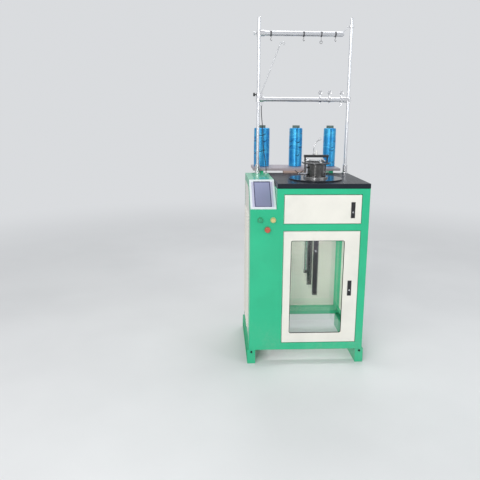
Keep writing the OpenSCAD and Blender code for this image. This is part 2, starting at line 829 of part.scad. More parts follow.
module latch_case() {
  case_w = latch_w - 4;
  case_h = latch_h - 8;
  color([0.07, 0.07, 0.08]) difference() {
    union() {
      translate([-latch_w / 2, -latch_rim, -latch_h / 2]) cube([latch_w, latch_rim, latch_h]);
      translate([-case_w / 2, 0, -case_h / 2]) cube([case_w, latch_d, case_h]);
      // Tongue behind the door
      translate([case_w / 2 - 3, latch_d - 4, -8]) cube([16, 3, 16]);
      // Ring round the key hole
      translate([0, -latch_rim - 0.8, key_z]) turned_to_front() cylinder(h = 2, d = 11);
    }
    // Pocket of the lever
    difference() {
      translate([-lever_w / 2 - case_gap, -latch_rim - cut, lever_top - lever_l - case_gap])
        cube([lever_w + 2 * case_gap, lever_t + 3 + cut, lever_l + 2 * case_gap]);
      translate([-lever_w / 2 - cut, lever_pin_y, lever_pin_z]) rotate([0, 90, 0])
        cylinder(h = lever_w + 2 * cut, d = lever_t / 2 - 2 * run_gap);
    }
    translate([0, -latch_rim - cut, button_z]) turned_to_front()
      cylinder(h = latch_rim + latch_d - 2, d = latch_button_d + 2 * run_gap);
    translate([0, -latch_rim - 2 * cut, key_z]) turned_to_front()
      cylinder(h = 6, d = 6);
  }
}

module latch_lever() {
  color([0.1, 0.1, 0.11]) difference() {
    union() {
      translate([-lever_w / 2, lever_pin_y - lever_t / 2, lever_top - lever_l])
        cube([lever_w, lever_t, lever_l - lever_t / 2]);
      translate([-lever_w / 2, lever_pin_y, lever_pin_z]) rotate([0, 90, 0])
        cylinder(h = lever_w, d = lever_t);
    }
    translate([-lever_w / 2 - cut, lever_pin_y, lever_pin_z]) rotate([0, 90, 0])
      cylinder(h = lever_w + 2 * cut, d = lever_t / 2);
    // Finger hollow along the lever
    translate([0, lever_pin_y - lever_t / 2 - 9, lever_top - lever_l * 0.55])
      cylinder(h = lever_l, r = 10, center = true);
  }
}

module latch_button() {
  color([0.9, 0.9, 0.92]) translate([0, -latch_rim - 1.5, button_z]) turned_to_front() {
    cylinder(h = latch_d - latch_travel - 2.5, d = latch_button_d);
  }
}

module at_latch(z) {
  translate([latch_x, front_y, z]) children();
}
module upper_latch_body() { at_latch(upper_latch_z) latch_case(); }
module upper_latch_lever() { at_latch(upper_latch_z) latch_lever(); }
module upper_latch_button() { at_latch(upper_latch_z) latch_button(); }
module lower_latch_body() { at_latch(lower_latch_z) latch_case(); }
module lower_latch_lever() { at_latch(lower_latch_z) latch_lever(); }
module lower_latch_button() { at_latch(lower_latch_z) latch_button(); }

// Places a shape that lies in X and Y, face up, on the console's slope
module on_slope() {
  translate([left_x + (column_w - panel_t) / 2, front_y, console_low])
    rotate([slope, 0, 0]) translate([0, slope_l / 2, 0]) children();
}

module screen_bezel() {
  color([0.93, 0.93, 0.95]) on_slope() difference() {
    translate([-bezel_w / 2, -bezel_l / 2, 0]) linear_extrude(bezel_t)
      rounded_rect(bezel_w, bezel_l, 4);
    translate([-screen_w / 2 - 0.3, -screen_l / 2 - 0.3, bezel_t - screen_in])
      cube([screen_w + 0.6, screen_l + 0.6, screen_in + cut]);
  }
}

module screen() {
  color([0.35, 0.36, 0.48]) on_slope()
    translate([-screen_w / 2, -screen_l / 2, bezel_t - screen_in])
      cube([screen_w, screen_l, screen_in - 1]);
}

// Middles of the start, jog and stop buttons
button_spots = [[left_x + 60, button_high], [left_x + 135, button_high - 0.5],
  [left_x + 102, button_low]];

module button_place(i) {
  translate([button_spots[i][0], front_y, button_spots[i][1]]) children();
}

module button_places() {
  for (i = [0:2]) button_place(i) children();
}

// Length of the barrel behind a collar's front
barrel_l = 34;

module button_collars() {
  color([0.55, 0.56, 0.58]) button_places() turned_to_front() difference() {
    union() {
      translate([0, 0, -collar_t]) cylinder(h = collar_t, d1 = collar_d - 4, d2 = collar_d);
      cylinder(h = barrel_l, d = button_hole_d - 0.6);
      translate([0, 0, sheet_t]) cylinder(h = 5, d = button_hole_d + 7, $fn = 6);
    }
    translate([0, 0, -collar_t - cut])
      cylinder(h = collar_t + barrel_l - 4, d = button_stem_d + 2 * run_gap);
  }
}

// Push button: a stem that runs in the collar and a cap in front of it
module push_button(cap_d, cap_h, dome) {
  turned_to_front() {
    translate([0, 0, -collar_t - button_travel - 0.5])
      cylinder(h = collar_t + barrel_l - 5 - cut, d = button_stem_d);
    translate([0, 0, -collar_t - button_travel - 0.5 - cap_h]) cylinder(h = cap_h, d = cap_d);
    translate([0, 0, -collar_t - button_travel - 0.5 - cap_h - dome])
      cylinder(h = dome, d1 = cap_d - 3 * dome, d2 = cap_d);
  }
}

module start_button() {
  color([0.1, 0.55, 0.35]) button_place(0) push_button(collar_d - 11, 4, 1);
}
module jog_button() {
  color([0.95, 0.85, 0.25]) button_place(1) push_button(collar_d - 11, 4, 1);
}
module stop_button() {
  color([0.85, 0.25, 0.18]) button_place(2) push_button(collar_d - 3, 8, 3);
}

// Places a shape on the knitting head's axis
module at_head() {
  translate([head_x, head_y, 0]) children();
}

module head_plate() {
  color([0.1, 0.12, 0.15]) at_head() translate([0, 0, table_z]) rotate_extrude($fn = 128)
    polygon([[housing_r + 0.5, 0], [plate_r, 0], [plate_r, plate_t - 2],
      [plate_r - 2, plate_t], [housing_r + 0.5, plate_t]]);
}

// Flanged housing that carries the spindle in the table
module bearing_flange() {
  color([0.78, 0.79, 0.8]) at_head() rotate_extrude($fn = 128)
    polygon([[spindle_r + run_gap, housing_low], [housing_r, housing_low],
      [housing_r, flange_z], [flange_r, flange_z], [flange_r, drum_z - 2],
      [flange_r - 2, drum_z], [cylinder_r + 1, drum_z], [cylinder_r + 1, drum_z - 3],
      [spindle_r + run_gap, drum_z - 3]]);
}

module cam_drum() {
  bore = cylinder_r + 0.3;
  track = cylinder_r + butt_out + 0.5;
  color([0.75, 0.76, 0.78]) at_head() rotate_extrude($fn = 128)
    polygon([[bore, drum_z], [drum_r, drum_z], [drum_r, drum_top - 1.5],
      [drum_r - 1.5, drum_top], [bore, drum_top],
      [bore, needle_butt_z + butt_h + 3], [track, needle_butt_z + butt_h + 3],
      [track, needle_butt_z - 3], [bore, needle_butt_z - 3]]);
}

// Hollow spindle that turns in the housing and carries cylinder, pulley and take-down
module spindle() {
  color([0.7, 0.71, 0.73]) at_head() rotate_extrude($fn = 96)
    polygon([[spindle_r - spindle_wall, spindle_low], [spindle_r, spindle_low],
      [spindle_r, drum_z - 3 + thrust_gap], [cylinder_r - 1, drum_z - 3 + thrust_gap],
      [cylinder_r - 1, cylinder_z], [spindle_r - spindle_wall, cylinder_z]]);
}

module needle_cylinder() {
  inner = cylinder_r - cylinder_wall;
  color([0.72, 0.72, 0.74]) at_head() difference() {
    rotate_extrude($fn = 96)
      polygon([[inner, cylinder_z], [cylinder_r, cylinder_z], [cylinder_r, cylinder_top - 1],
        [cylinder_r - 1, cylinder_top], [inner + 1, cylinder_top], [inner, cylinder_top - 1]]);
    for (i = [0:needle_count - 1])
      rotate([0, 0, i * 360 / needle_count])
        translate([cylinder_r - slot_depth, -slot_w / 2, cylinder_top - slot_l])
          cube([slot_depth + cut, slot_w, slot_l + cut]);
  }
}

// One needle: blade and butt in the slot, thin stem and open hook above the cylinder
module needle() {
  blade_r = cylinder_r - slot_depth + 0.2;
  stem_r = blade_r + 1.2;
  hook_r = 1.6;
  translate([blade_r, -needle_t / 2, cylinder_top - slot_l + 0.5])
    cube([slot_depth - 0.6, needle_t, slot_l - 2]);
  translate([blade_r, -needle_t / 2, needle_butt_z])
    cube([cylinder_r + butt_out - blade_r, needle_t, butt_h]);
  translate([stem_r, 0, cylinder_top - 2]) cylinder(h = needle_over + 2, d = 0.9, $fn = 16);
  translate([stem_r + hook_r, 0, cylinder_top + needle_over]) rotate([90, 0, 0])
    rotate_extrude(angle = 200, $fn = 24)
      translate([-hook_r, 0]) circle(d = 0.9, $fn = 16);
}

module needles() {
  color([0.85, 0.85, 0.87]) at_head()
    for (i = [0:needle_count - 1]) rotate([0, 0, i * 360 / needle_count]) needle();
}

module feeder_ring() {
  color([0.7, 0.71, 0.72]) at_head() {
    translate([0, 0, ring_z]) rotate_extrude($fn = 128)
      polygon([[ring_in_r, 2], [ring_in_r + 2, 0], [ring_r - 6, 0], [ring_r, 4],
        [ring_r, ring_t - 2], [ring_r - 2, ring_t], [ring_in_r, ring_t]]);
    for (a = [20, 90, 160]) rotate([0, 0, a]) translate([post_at, 0, drum_z])
      cylinder(h = ring_z - drum_z + 1, r = post_r);
  }
}

// One yarn feeder: foot on the ring, arm and guide tube that points at the hooks
module yarn_feeder() {
  foot_r = (ring_in_r + ring_r) / 2;
  tip_r = cylinder_r + 6;
  top = ring_top + 14;
  translate([foot_r - 8, -7, ring_top]) cube([16, 14, 6]);
  translate([foot_r, 0, ring_top]) cylinder(h = 16, d = 6, $fn = 24);
  translate([tip_r + 3, -3, top - 3]) cube([foot_r - tip_r - 3, 6, 5]);
  difference() {
    translate([tip_r + 4, 0, cylinder_top + needle_over - 6])
      cylinder(h = top + 12 - cylinder_top - needle_over, d = 6, $fn = 24);
    translate([tip_r + 4, 0, cylinder_top]) cylinder(h = 60, d = 2.4, $fn = 16);
  }
}

module yarn_feeders() {
  color([0.88, 0.88, 0.9]) at_head()
    for (i = [0:feeder_count - 1]) rotate([0, 0, feeder_turn + i * 360 / feeder_count])
      yarn_feeder();
}

module guide_bridge() {
  post_x = (ring_in_r + ring_r) / 2 - 6;
  color([0.06, 0.07, 0.08]) at_head() {
    translate([-bridge_l / 2, -13, bridge_z]) cube([bridge_l, 26, bridge_t]);
    for (x = [-post_x, post_x]) translate([x, 0, ring_top])
      cylinder(h = bridge_up + 1, r = post_r, $fn = 32);
  }
}

module guide_cone() {
  color([0.95, 0.95, 0.93]) at_head() translate([0, 0, bridge_z + bridge_t]) rotate_extrude()
    polygon([[1.6, 0], [9, 0], [9, 4], [3, 30], [1.6, 30]]);
}

module guide_arm() {
  color([0.6, 0.61, 0.63]) at_head() {
    rod_path([[-16, 4, bridge_z + bridge_t], [-16, 4, bridge_z + 64], [-2, 4, bridge_z + 92],
      [14, 4, bridge_z + 106]], 5);
    eyelet([19.3, 4, bridge_z + 110.6], 7, 3.4);
    translate([-16, 4, bridge_z + bridge_t]) cylinder(h = 8, d = 11, $fn = 32);
  }
}

// Silver post left of the drum, with a side arm for the stop lever
module drum_bracket() {
  color([0.78, 0.79, 0.81]) at_head() {
    translate([-bracket_out - 8, -8, drum_z]) cube([8, 16, drum_h - 6]);
    translate([-bracket_out - 14, -8, drum_z]) cube([14, 16, 6]);
    translate([lever_pivot_x - 6, 0, drum_z + 16]) rotate([0, 90, 0])
      cylinder(h = 60, d = 12);
    translate([lever_pivot_x, -14, drum_z + 16]) turned_to_front() cylinder(h = 20, d = 8);
  }
}

// Bent stop lever with two arms, on a pin of the bracket
module stop_lever() {
  z = drum_z + 16;
  color([0.12, 0.12, 0.14]) at_head() difference() {
    union() {
      translate([lever_pivot_x, -13.5, z]) turned_to_front() cylinder(h = 6, d = 14);
      rod_path([[lever_pivot_x, -10.5, z], [lever_pivot_x - 26, -10.5, z + 22]], 5);
      rod_path([[lever_pivot_x, -10.5, z], [lever_pivot_x + 28, -10.5, z + 20]], 5);
    }
    translate([lever_pivot_x, -14.5, z]) turned_to_front()
      cylinder(h = 8, d = 8 + 2 * run_gap);
  }
}

// Grooved pulley of outer radius r, with bore b, centred on Z from height 0
module pulley(r, b) {
  m = pulley_h / 2;
  g = belt_w / 2 + belt_gap;
  rotate_extrude($fn = 96)
    polygon([[b, 0], [r, 0], [r, m - g - 2], [r - groove_d, m - g], [r - groove_d, m + g],
      [r, m + g + 2], [r, pulley_h], [b, pulley_h]]);
}

module main_pulley() {
  color([0.45, 0.46, 0.48]) at_head() translate([0, 0, pulley_z]) difference() {
    pulley(main_pulley_r, spindle_r);
    for (i = [0:5]) rotate([0, 0, i * 60]) translate([(main_pulley_r + spindle_r) / 2 - 3, 0, -cut])
      cylinder(h = pulley_h + 2 * cut, d = 16);
  }
}

module motor_pulley() {
  color([0.5, 0.51, 0.53]) translate([motor_x, motor_y, pulley_z]) {
    pulley(motor_pulley_r, 0);
    translate([0, 0, motor_plate_z - pulley_z - 40]) cylinder(h = pulley_z - motor_plate_z + 41,
      r = motor_shaft_r);
  }
}

// Motor with a ribbed round housing under its plate
module motor() {
  foot = motor_plate_z;
  color([0.3, 0.42, 0.55]) translate([motor_x, motor_y, 0]) difference() {
    union() {
      translate([0, 0, foot - 12]) cylinder(h = 12, r = motor_r + 4);
      translate([0, 0, foot - motor_l]) cylinder(h = motor_l - 6, r = motor_r - 6);
      for (i = [0:23]) rotate([0, 0, i * 15])
        translate([motor_r - 8, -1.5, foot - motor_l + 30]) cube([8, 3, motor_l - 36]);
      translate([0, 0, foot - motor_l]) cylinder(h = 30, r = motor_r);
      translate([-22, -motor_r - 18, foot - 84]) cube([44, 26, 52]);
    }
    translate([0, 0, foot - 60]) cylinder(h = 60 + cut, r = motor_shaft_r + run_gap);
  }
}

module motor_plate() {
  s = motor_plate_s;
  color([0.25, 0.27, 0.3]) translate([motor_x, motor_y, motor_plate_z]) {
    difference() {
      translate([-s / 2, -s / 2, 0]) cube([s, s, motor_plate_t]);
      translate([0, 0, -cut]) cylinder(h = motor_plate_t + 2 * cut, r = motor_shaft_r + 4);
    }
    for (x = [-1, 1], y = [-1, 1]) translate([x * (s / 2 - 8), y * (s / 2 - 8), motor_plate_t - 1])
      cylinder(h = motor_drop + 1, d = 12);
  }
}

// Outline of the belt's loop round both pulleys, grown by o from the grooves
module belt_loop(o) {
  hull() {
    circle(r = main_pulley_r - groove_d + o, $fn = 96);
    translate([motor_dx, motor_dy]) circle(r = motor_pulley_r - groove_d + o, $fn = 96);
  }
}

module drive_belt() {
  color([0.05, 0.05, 0.06]) at_head() translate([0, 0, pulley_z + (pulley_h - belt_w) / 2])
    linear_extrude(belt_w) difference() {
      belt_loop(belt_gap + belt_t);
      belt_loop(belt_gap);
    }
}

// Yoke on the spindle with the two hanging legs and their roller bearings
module takedown_frame() {
  yoke_z = spindle_low + 2;
  yoke_h = 14;
  color([0.07, 0.07, 0.08]) at_head() {
    difference() {
      union() {
        translate([0, 0, yoke_z]) cylinder(h = yoke_h, r = spindle_r + 16);
        translate([-leg_w / 2, -leg_off - leg_t / 2, yoke_z])
          cube([leg_w, 2 * leg_off + leg_t, yoke_h]);
      }
      translate([0, 0, yoke_z - cut]) cylinder(h = yoke_h + 2 * cut, r = spindle_r);
    }
    for (s = [-1, 1]) takedown_leg(s * leg_off, yoke_z + cut);
    // Lugs on the rear leg's side that hold the bright rod, with the thin rod between them
    rod_lug(leg_low + rod_up - lug_h, 1);
    rod_lug(roller_z - bearing_h / 2 - lug_h + cut, -1);
    translate([thin_rod_x, leg_off, leg_low + rod_up - cut])
      cylinder(h = roller_z - bearing_h / 2 - lug_h - leg_low - rod_up + 3 * cut, d = thin_rod_d);
  }
}

module takedown_leg(y, top) {
  translate([0, y - leg_t / 2, 0]) difference() {
    union() {
      translate([-leg_w / 2, 0, leg_low]) cube([leg_w, leg_t, top - leg_low]);
      translate([-bearing_w / 2, 0, roller_z - bearing_h / 2]) cube([bearing_w, leg_t, bearing_h]);
    }
    for (x = [-roller_x, roller_x]) translate([x, -cut, roller_z]) turned_to_front()
      cylinder(h = leg_t + 2 * cut, r = roller_shaft_r + run_gap);
  }
}

// Lug beside the rear leg with the blind bore of the bright rod; up is 1 where the bore opens upwards
module rod_lug(z, up) {
  left = thin_rod_x - thin_rod_d / 2 - 2;
  depth = rod_d + 4;
  difference() {
    translate([left, leg_off - depth / 2, z]) cube([cut - leg_w / 2 - left, depth, lug_h]);
    translate([rod_x, leg_off, up > 0 ? z + lug_floor : z - cut])
      cylinder(h = lug_h - lug_floor + cut, d = rod_d + 2 * fit_gap);
  }
}

module takedown_rod() {
  low = leg_low + rod_up - lug_h + lug_floor + fit_gap;
  high = roller_z - bearing_h / 2 + cut - lug_floor - fit_gap;
  color([0.8, 0.81, 0.83]) at_head() {
    translate([rod_x, leg_off, low]) cylinder(h = high - low, d = rod_d);
    // Bolt head on the front leg
    translate([-3, -leg_off - leg_t / 2 - 5, leg_low + 286]) turned_to_front()
      cylinder(h = 5, d = 12);
  }
}

// Take-down roller with its shaft and end collars, at x beside the head's axis
module roller(x) {
  face = leg_off - leg_t / 2 - 1;
  shaft = leg_off + leg_t / 2 + 8;
  color([0.75, 0.75, 0.76]) at_head() translate([x, 0, roller_z]) {
    translate([0, -face, 0]) turned_to_front() cylinder(h = 2 * face, r = roller_r);
    translate([0, -shaft, 0]) turned_to_front() cylinder(h = 2 * shaft, r = roller_shaft_r);
    for (s = [0, 1]) mirror([0, s, 0]) translate([0, -shaft + 1, 0]) turned_to_front()
      cylinder(h = 6.5, r = roller_shaft_r + 5);
  }
}

module roller_left() { roller(-roller_x); }
module roller_right() { roller(roller_x); }

module poles() {
  color([0.93, 0.94, 0.96]) for (x = [pole_lx, pole_rx]) translate([x, pole_y, table_z]) {
    cylinder(h = pole_top - table_z - 4, d = pole_d);
    translate([0, 0, pole_top - table_z - 4]) cylinder(h = 4, d1 = pole_d, d2 = pole_d - 6);
  }
}

// Cross clamp on a pole with a socket for a bar that runs along X; d is 1 to the right
module cross_clamp(x, z, d, bar_d) {
  translate([x, pole_y, z]) mirror([d > 0 ? 0 : 1, 0, 0]) difference() {
    union() {
      translate([0, 0, -sleeve_h / 2]) cylinder(h = sleeve_h, r = sleeve_r);
      translate([0, 0, 0]) rotate([0, 90, 0]) cylinder(h = socket_l, d = bar_d + 8);
    }
    translate([0, 0, -sleeve_h]) cylinder(h = 2 * sleeve_h, r = pole_d / 2 + fit_gap);
    translate([sleeve_r - 2, 0, 0]) rotate([0, 90, 0])
      cylinder(h = socket_l, r = bar_d / 2 + fit_gap);
  }
}

module pole_fittings() {
  color([0.72, 0.73, 0.75]) {
    for (x = [pole_lx, pole_rx]) translate([x, pole_y, table_z]) difference() {
      union() {
        cylinder(h = 6, d = 2 * pole_d);
        cylinder(h = foot_sleeve_h, d = pole_d + 10);
      }
      translate([0, 0, -cut]) cylinder(h = foot_sleeve_h + 2 * cut, r = pole_d / 2 + fit_gap);
    }
    cross_clamp(pole_lx, mid_bar_z, 1, mid_bar_d);
    cross_clamp(pole_rx, mid_bar_z, -1, mid_bar_d);
    cross_clamp(pole_lx, top_bar_z, 1, top_bar_d);
    // Collar for the stay on the right pole
    translate([pole_rx, pole_y, stay_z - 6]) difference() {
      cylinder(h = 12, r = sleeve_r);
      translate([0, 0, -cut]) cylinder(h = 14, r = pole_d / 2 + fit_gap);
    }
    // Collar and block above the left clamp for the slanted rod, and block below it for the cable
    translate([pole_lx, pole_y, rod_collar_z]) difference() {
      cylinder(h = rod_collar_h, r = sleeve_r);
      translate([0, 0, -cut]) cylinder(h = rod_collar_h + 2 * cut, r = pole_d / 2 + fit_gap);
    }
    translate([pole_lx + 20, pole_y, mid_bar_z + mid_bar_d / 2]) difference() {
      translate([-8, -8, 0]) cube([16, 16, 26]);
      translate([0, 0, 6]) cylinder(h = 21, r = guide_rod_d / 2 + fit_gap);
    }
    translate([pole_lx + 21, pole_y, mid_bar_z - 42]) difference() {
      translate([-9, -8, 0]) cube([18, 16, 42 - mid_bar_d / 2]);
      translate([0, 0, -cut]) cylinder(h = 9 + cut, r = cable_d / 2 + 0.3);
    }
    // Gland of the cable on the console
    translate([cable_x, cable_y, table_z]) difference() {
      union() {
        cylinder(h = 5, d = 18, $fn = 6);
        cylinder(h = 12, d = 13);
      }
      translate([0, 0, -cut]) cylinder(h = 14, r = cable_d / 2 + 0.3);
    }
  }
}

module mid_bar() {
  x0 = pole_lx + sleeve_r - 2 + fit_gap;
  color([0.92, 0.93, 0.95]) translate([x0, pole_y, mid_bar_z]) rotate([0, 90, 0])
    cylinder(h = pole_rx - sleeve_r + 2 - fit_gap - x0, d = mid_bar_d);
}

module top_bar() {
  x0 = pole_lx + sleeve_r - 2 + fit_gap;
  color([0.95, 0.96, 0.97]) translate([x0, pole_y, top_bar_z]) rotate([0, 90, 0]) {
    cylinder(h = top_bar_l - x0, d = top_bar_d);
    translate([0, 0, top_bar_l - x0]) cylinder(h = 8, d = top_end_d);
  }
}

// Lobed clamp knob whose stem points along +Z
module star_knob(d, h) {
  linear_extrude(h) union() {
    circle(d = d * 0.72);
    for (i = [0:4]) rotate([0, 0, i * 72]) translate([d * 0.34, 0]) circle(d = d * 0.32);
  }
  translate([0, 0, -6]) cylinder(h = 6 + h / 2, d = d * 0.28);
}

module star_knobs() {
  color([0.08, 0.08, 0.09]) {
    for (z = [rod_collar_z + rod_collar_h / 2, top_bar_z])
      translate([pole_lx - sleeve_r - 6, pole_y, z]) rotate([0, -90, 0]) star_knob(24, 12);
    translate([pole_lx, pole_y - sleeve_r - 6, mid_bar_z + 14]) rotate([90, 0, 0])
      star_knob(24, 12);
    translate([pole_rx + 3, pole_y - sleeve_r - 6, mid_bar_z - 4]) rotate([90, 0, 0])
      star_knob(20, 10);
    at_head() for (z = [11, 55])
      translate([-bracket_out - 4, -14, drum_z + z]) rotate([90, 0, 0]) star_knob(13, 8);
  }
}

// Yarn tensioner on the middle bar: ring, stem and a pair of dished discs on a pin
module tensioner(x) {
  ring_r = mid_bar_d / 2 + 4;
  disc_z = ring_r + 28;
  translate([x, pole_y, mid_bar_z]) {
    difference() {
      union() {
        translate([-7, 0, 0]) rotate([0, 90, 0]) cylinder(h = 14, r = ring_r);
        cylinder(h = disc_z, d = 8, $fn = 32);
        translate([0, 0, -ring_r - 8]) cylinder(h = 12, d = 7, $fn = 32);
      }
      translate([-8, 0, 0]) rotate([0, 90, 0]) cylinder(h = 16, r = mid_bar_d / 2 + fit_gap);
    }
    translate([0, -16, disc_z]) turned_to_front() cylinder(h = 18, d = 6, $fn = 32);
    for (s = [0, 1]) translate([0, -9, disc_z]) mirror([0, s, 0]) translate([0, 0.4, 0])
      turned_to_front() rotate_extrude($fn = 48)
        polygon([[2, 0], [disc_d / 2 - 3, 0], [disc_d / 2, 2], [disc_d / 2 - 1, 3],
          [disc_d / 2 - 4, 1.4], [2, 1.4]]);
  }
}

module tension_devices() {
  color([0.86, 0.87, 0.89]) {
    for (x = tension_x) tensioner(x);
    translate([tension_x[2], pole_y, mid_bar_z - 44]) cylinder(h = 42 - mid_bar_d / 2, d = 12);
  }
}

// Ring of tube diameter t and radius r, seen from the front
module eyelet(p, r, t) {
  translate(p) rotate([90, 0, 0]) rotate_extrude($fn = 32) translate([r, 0]) circle(d = t, $fn = 16);
}

module guide_rods() {
  foot = [pole_lx + 20, pole_y, mid_bar_z + mid_bar_d / 2 + 6.5];
  tip = [pole_lx + 140, pole_y, top_bar_z - 56];
  color([0.75, 0.76, 0.78]) {
    rod_path([foot, foot + [0, 0, 24], tip, tip + [12, 0, -2]], guide_rod_d);
    eyelet(tip + [20, 0, -4], 8, 3.4);
    rod_path([[top_bar_l + 4, pole_y, top_bar_z + top_end_d / 2 + fit_gap],
      [top_bar_l + 4, pole_y, top_bar_z + 16], [pole_rx - sleeve_r - 1.8, pole_y, stay_z]], 4);
  }
}

// Ring on the top bar with a hook that hangs from it
module hook_guide(x) {
  ring = top_bar_d / 2 + 3;
  translate([x, pole_y, top_bar_z]) {
    difference() {
      translate([-5, 0, 0]) rotate([0, 90, 0]) cylinder(h = 10, r = ring);
      translate([-6, 0, 0]) rotate([0, 90, 0]) cylinder(h = 12, r = top_bar_d / 2 + fit_gap);
    }
    rod_path([[0, 0, -ring + 1], [2, 0, -ring - 8], [-4, 0, -ring - 18], [2, 0, -ring - 26],
      [8, 0, -ring - 20]], 3);
  }
}

module thread_guides() {
  ring = top_bar_d / 2 + 3;
  color([0.82, 0.83, 0.85]) {
    for (x = guide_x) hook_guide(x);
    translate([loop_x, pole_y, top_bar_z]) {
      difference() {
        translate([-4, 0, 0]) rotate([0, 90, 0]) cylinder(h = 8, r = ring);
        translate([-5, 0, 0]) rotate([0, 90, 0]) cylinder(h = 10, r = top_bar_d / 2 + fit_gap);
      }
      rod_path([[0, 0, -ring + 1], [0, 0, -ring - 24]], 3);
      eyelet([0, 0, -ring - 32], 8.5, 3.4);
    }
  }
}

module creel_board() {
  color([0.78, 0.68, 0.6]) translate([board_x, board_y, board_z]) cube([board_w, board_d, board_t]);
}

module board_block() {
  color([0.75, 0.66, 0.56]) translate([block_x, rear_y - 20, table_z])
    cube([block_w, block_d, board_up]);
}

// Wound yarn package of diameter d
module yarn_package(i) {
  r = yarn_d[i] / 2;
  color([0.15, 0.55, 0.9]) translate([yarn_x[i], yarn_y, board_top]) rotate_extrude($fn = 96)
    polygon([[tube_d / 2 + fit_gap, 0], [r - 4, 0], [r - 1, 2], [r, 6], [r, yarn_h - 8],
      [r - 2, yarn_h - 3], [r - 6, yarn_h], [tube_d / 2 + fit_gap, yarn_h]]);
}

module yarn_left() { yarn_package(0); }
module yarn_middle() { yarn_package(1); }
module yarn_right() { yarn_package(2); }

module yarn_tubes() {
  color([0.5, 0.58, 0.55]) for (x = yarn_x) translate([x, yarn_y, board_top]) difference() {
    cylinder(h = yarn_h + tube_over, d = tube_d);
    translate([0, 0, -cut]) cylinder(h = yarn_h + tube_over + 2 * cut, d = tube_d - 6);
  }
}

module signal_cable() {
  path = [for (i = [0:cable_rings]) cable_route(i / cable_rings)];
  rings = len(path);
  points = [for (i = [0:rings - 1])
    let (v = path[min(i + 1, rings - 1)] - path[max(i - 1, 0)], w = v / norm(v),
      u = cross([0, 1, 0], w) / norm(cross([0, 1, 0], w)), q = cross(w, u))
    for (k = [0:cable_sides - 1])
      path[i] + cable_d / 2 * (cos(k * 360 / cable_sides) * u + sin(k * 360 / cable_sides) * q)];
  walls = [for (i = [0:rings - 2], k = [0:cable_sides - 1])
    let (j = (k + 1) % cable_sides)
    [i * cable_sides + k, (i + 1) * cable_sides + k, (i + 1) * cable_sides + j,
      i * cable_sides + j]];
  first = [for (k = [0:cable_sides - 1]) k];
  last = [for (k = [cable_sides - 1:-1:0]) (rings - 1) * cable_sides + k];
  color([0.05, 0.05, 0.06]) polyhedron(points, concat([first], walls, [last]));
}

skids();
base_frame();
front_fascia();
table_top();
left_panel();
right_panel();
rear_panel();
upper_door();
lower_door();
window_pane();
hinge_pins();
upper_latch_body();
upper_latch_lever();
upper_latch_button();
lower_latch_body();
lower_latch_lever();
lower_latch_button();
screen_bezel();
screen();
button_collars();
start_button();
jog_button();
stop_button();
head_plate();
bearing_flange();
cam_drum();
spindle();
needle_cylinder();
needles();
feeder_ring();
yarn_feeders();
guide_bridge();
guide_cone();
guide_arm();
drum_bracket();
stop_lever();
main_pulley();
motor();
motor_plate();
motor_pulley();
drive_belt();
takedown_frame();
takedown_rod();
roller_left();
roller_right();
poles();
pole_fittings();
mid_bar();
top_bar();
star_knobs();
tension_devices();
guide_rods();
thread_guides();
creel_board();
board_block();
yarn_left();
yarn_middle();
yarn_right();
yarn_tubes();
signal_cable();
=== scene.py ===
import math

import bpy
import numpy as np
from bpy.props import FloatProperty, FloatVectorProperty, IntProperty, PointerProperty
from mathutils import Matrix, Vector


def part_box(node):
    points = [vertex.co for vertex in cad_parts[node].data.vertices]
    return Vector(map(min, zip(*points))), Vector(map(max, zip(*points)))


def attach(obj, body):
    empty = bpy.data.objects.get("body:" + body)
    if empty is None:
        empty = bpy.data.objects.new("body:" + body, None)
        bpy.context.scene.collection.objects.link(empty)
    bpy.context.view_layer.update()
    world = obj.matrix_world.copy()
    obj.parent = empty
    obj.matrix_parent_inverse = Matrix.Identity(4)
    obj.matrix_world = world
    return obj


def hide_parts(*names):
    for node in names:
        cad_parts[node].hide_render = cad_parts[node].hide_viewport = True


bl_info = {
    "name": "Knitting Machine Finish",
    "version": (1, 0, 0),
    "blender": (4, 5, 0),
    "location": "3D View > Sidebar > Knitting",
    "description": "Paints, metals, yarn packages, fasteners, cable and studio for the knitting machine",
    "category": "Object",
}

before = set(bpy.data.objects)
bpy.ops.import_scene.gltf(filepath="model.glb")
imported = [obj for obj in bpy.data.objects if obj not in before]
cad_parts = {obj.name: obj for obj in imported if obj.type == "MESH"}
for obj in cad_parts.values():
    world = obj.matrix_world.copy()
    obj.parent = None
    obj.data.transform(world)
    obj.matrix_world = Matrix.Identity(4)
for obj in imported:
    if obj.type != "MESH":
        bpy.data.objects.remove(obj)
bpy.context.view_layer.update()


# Node trees


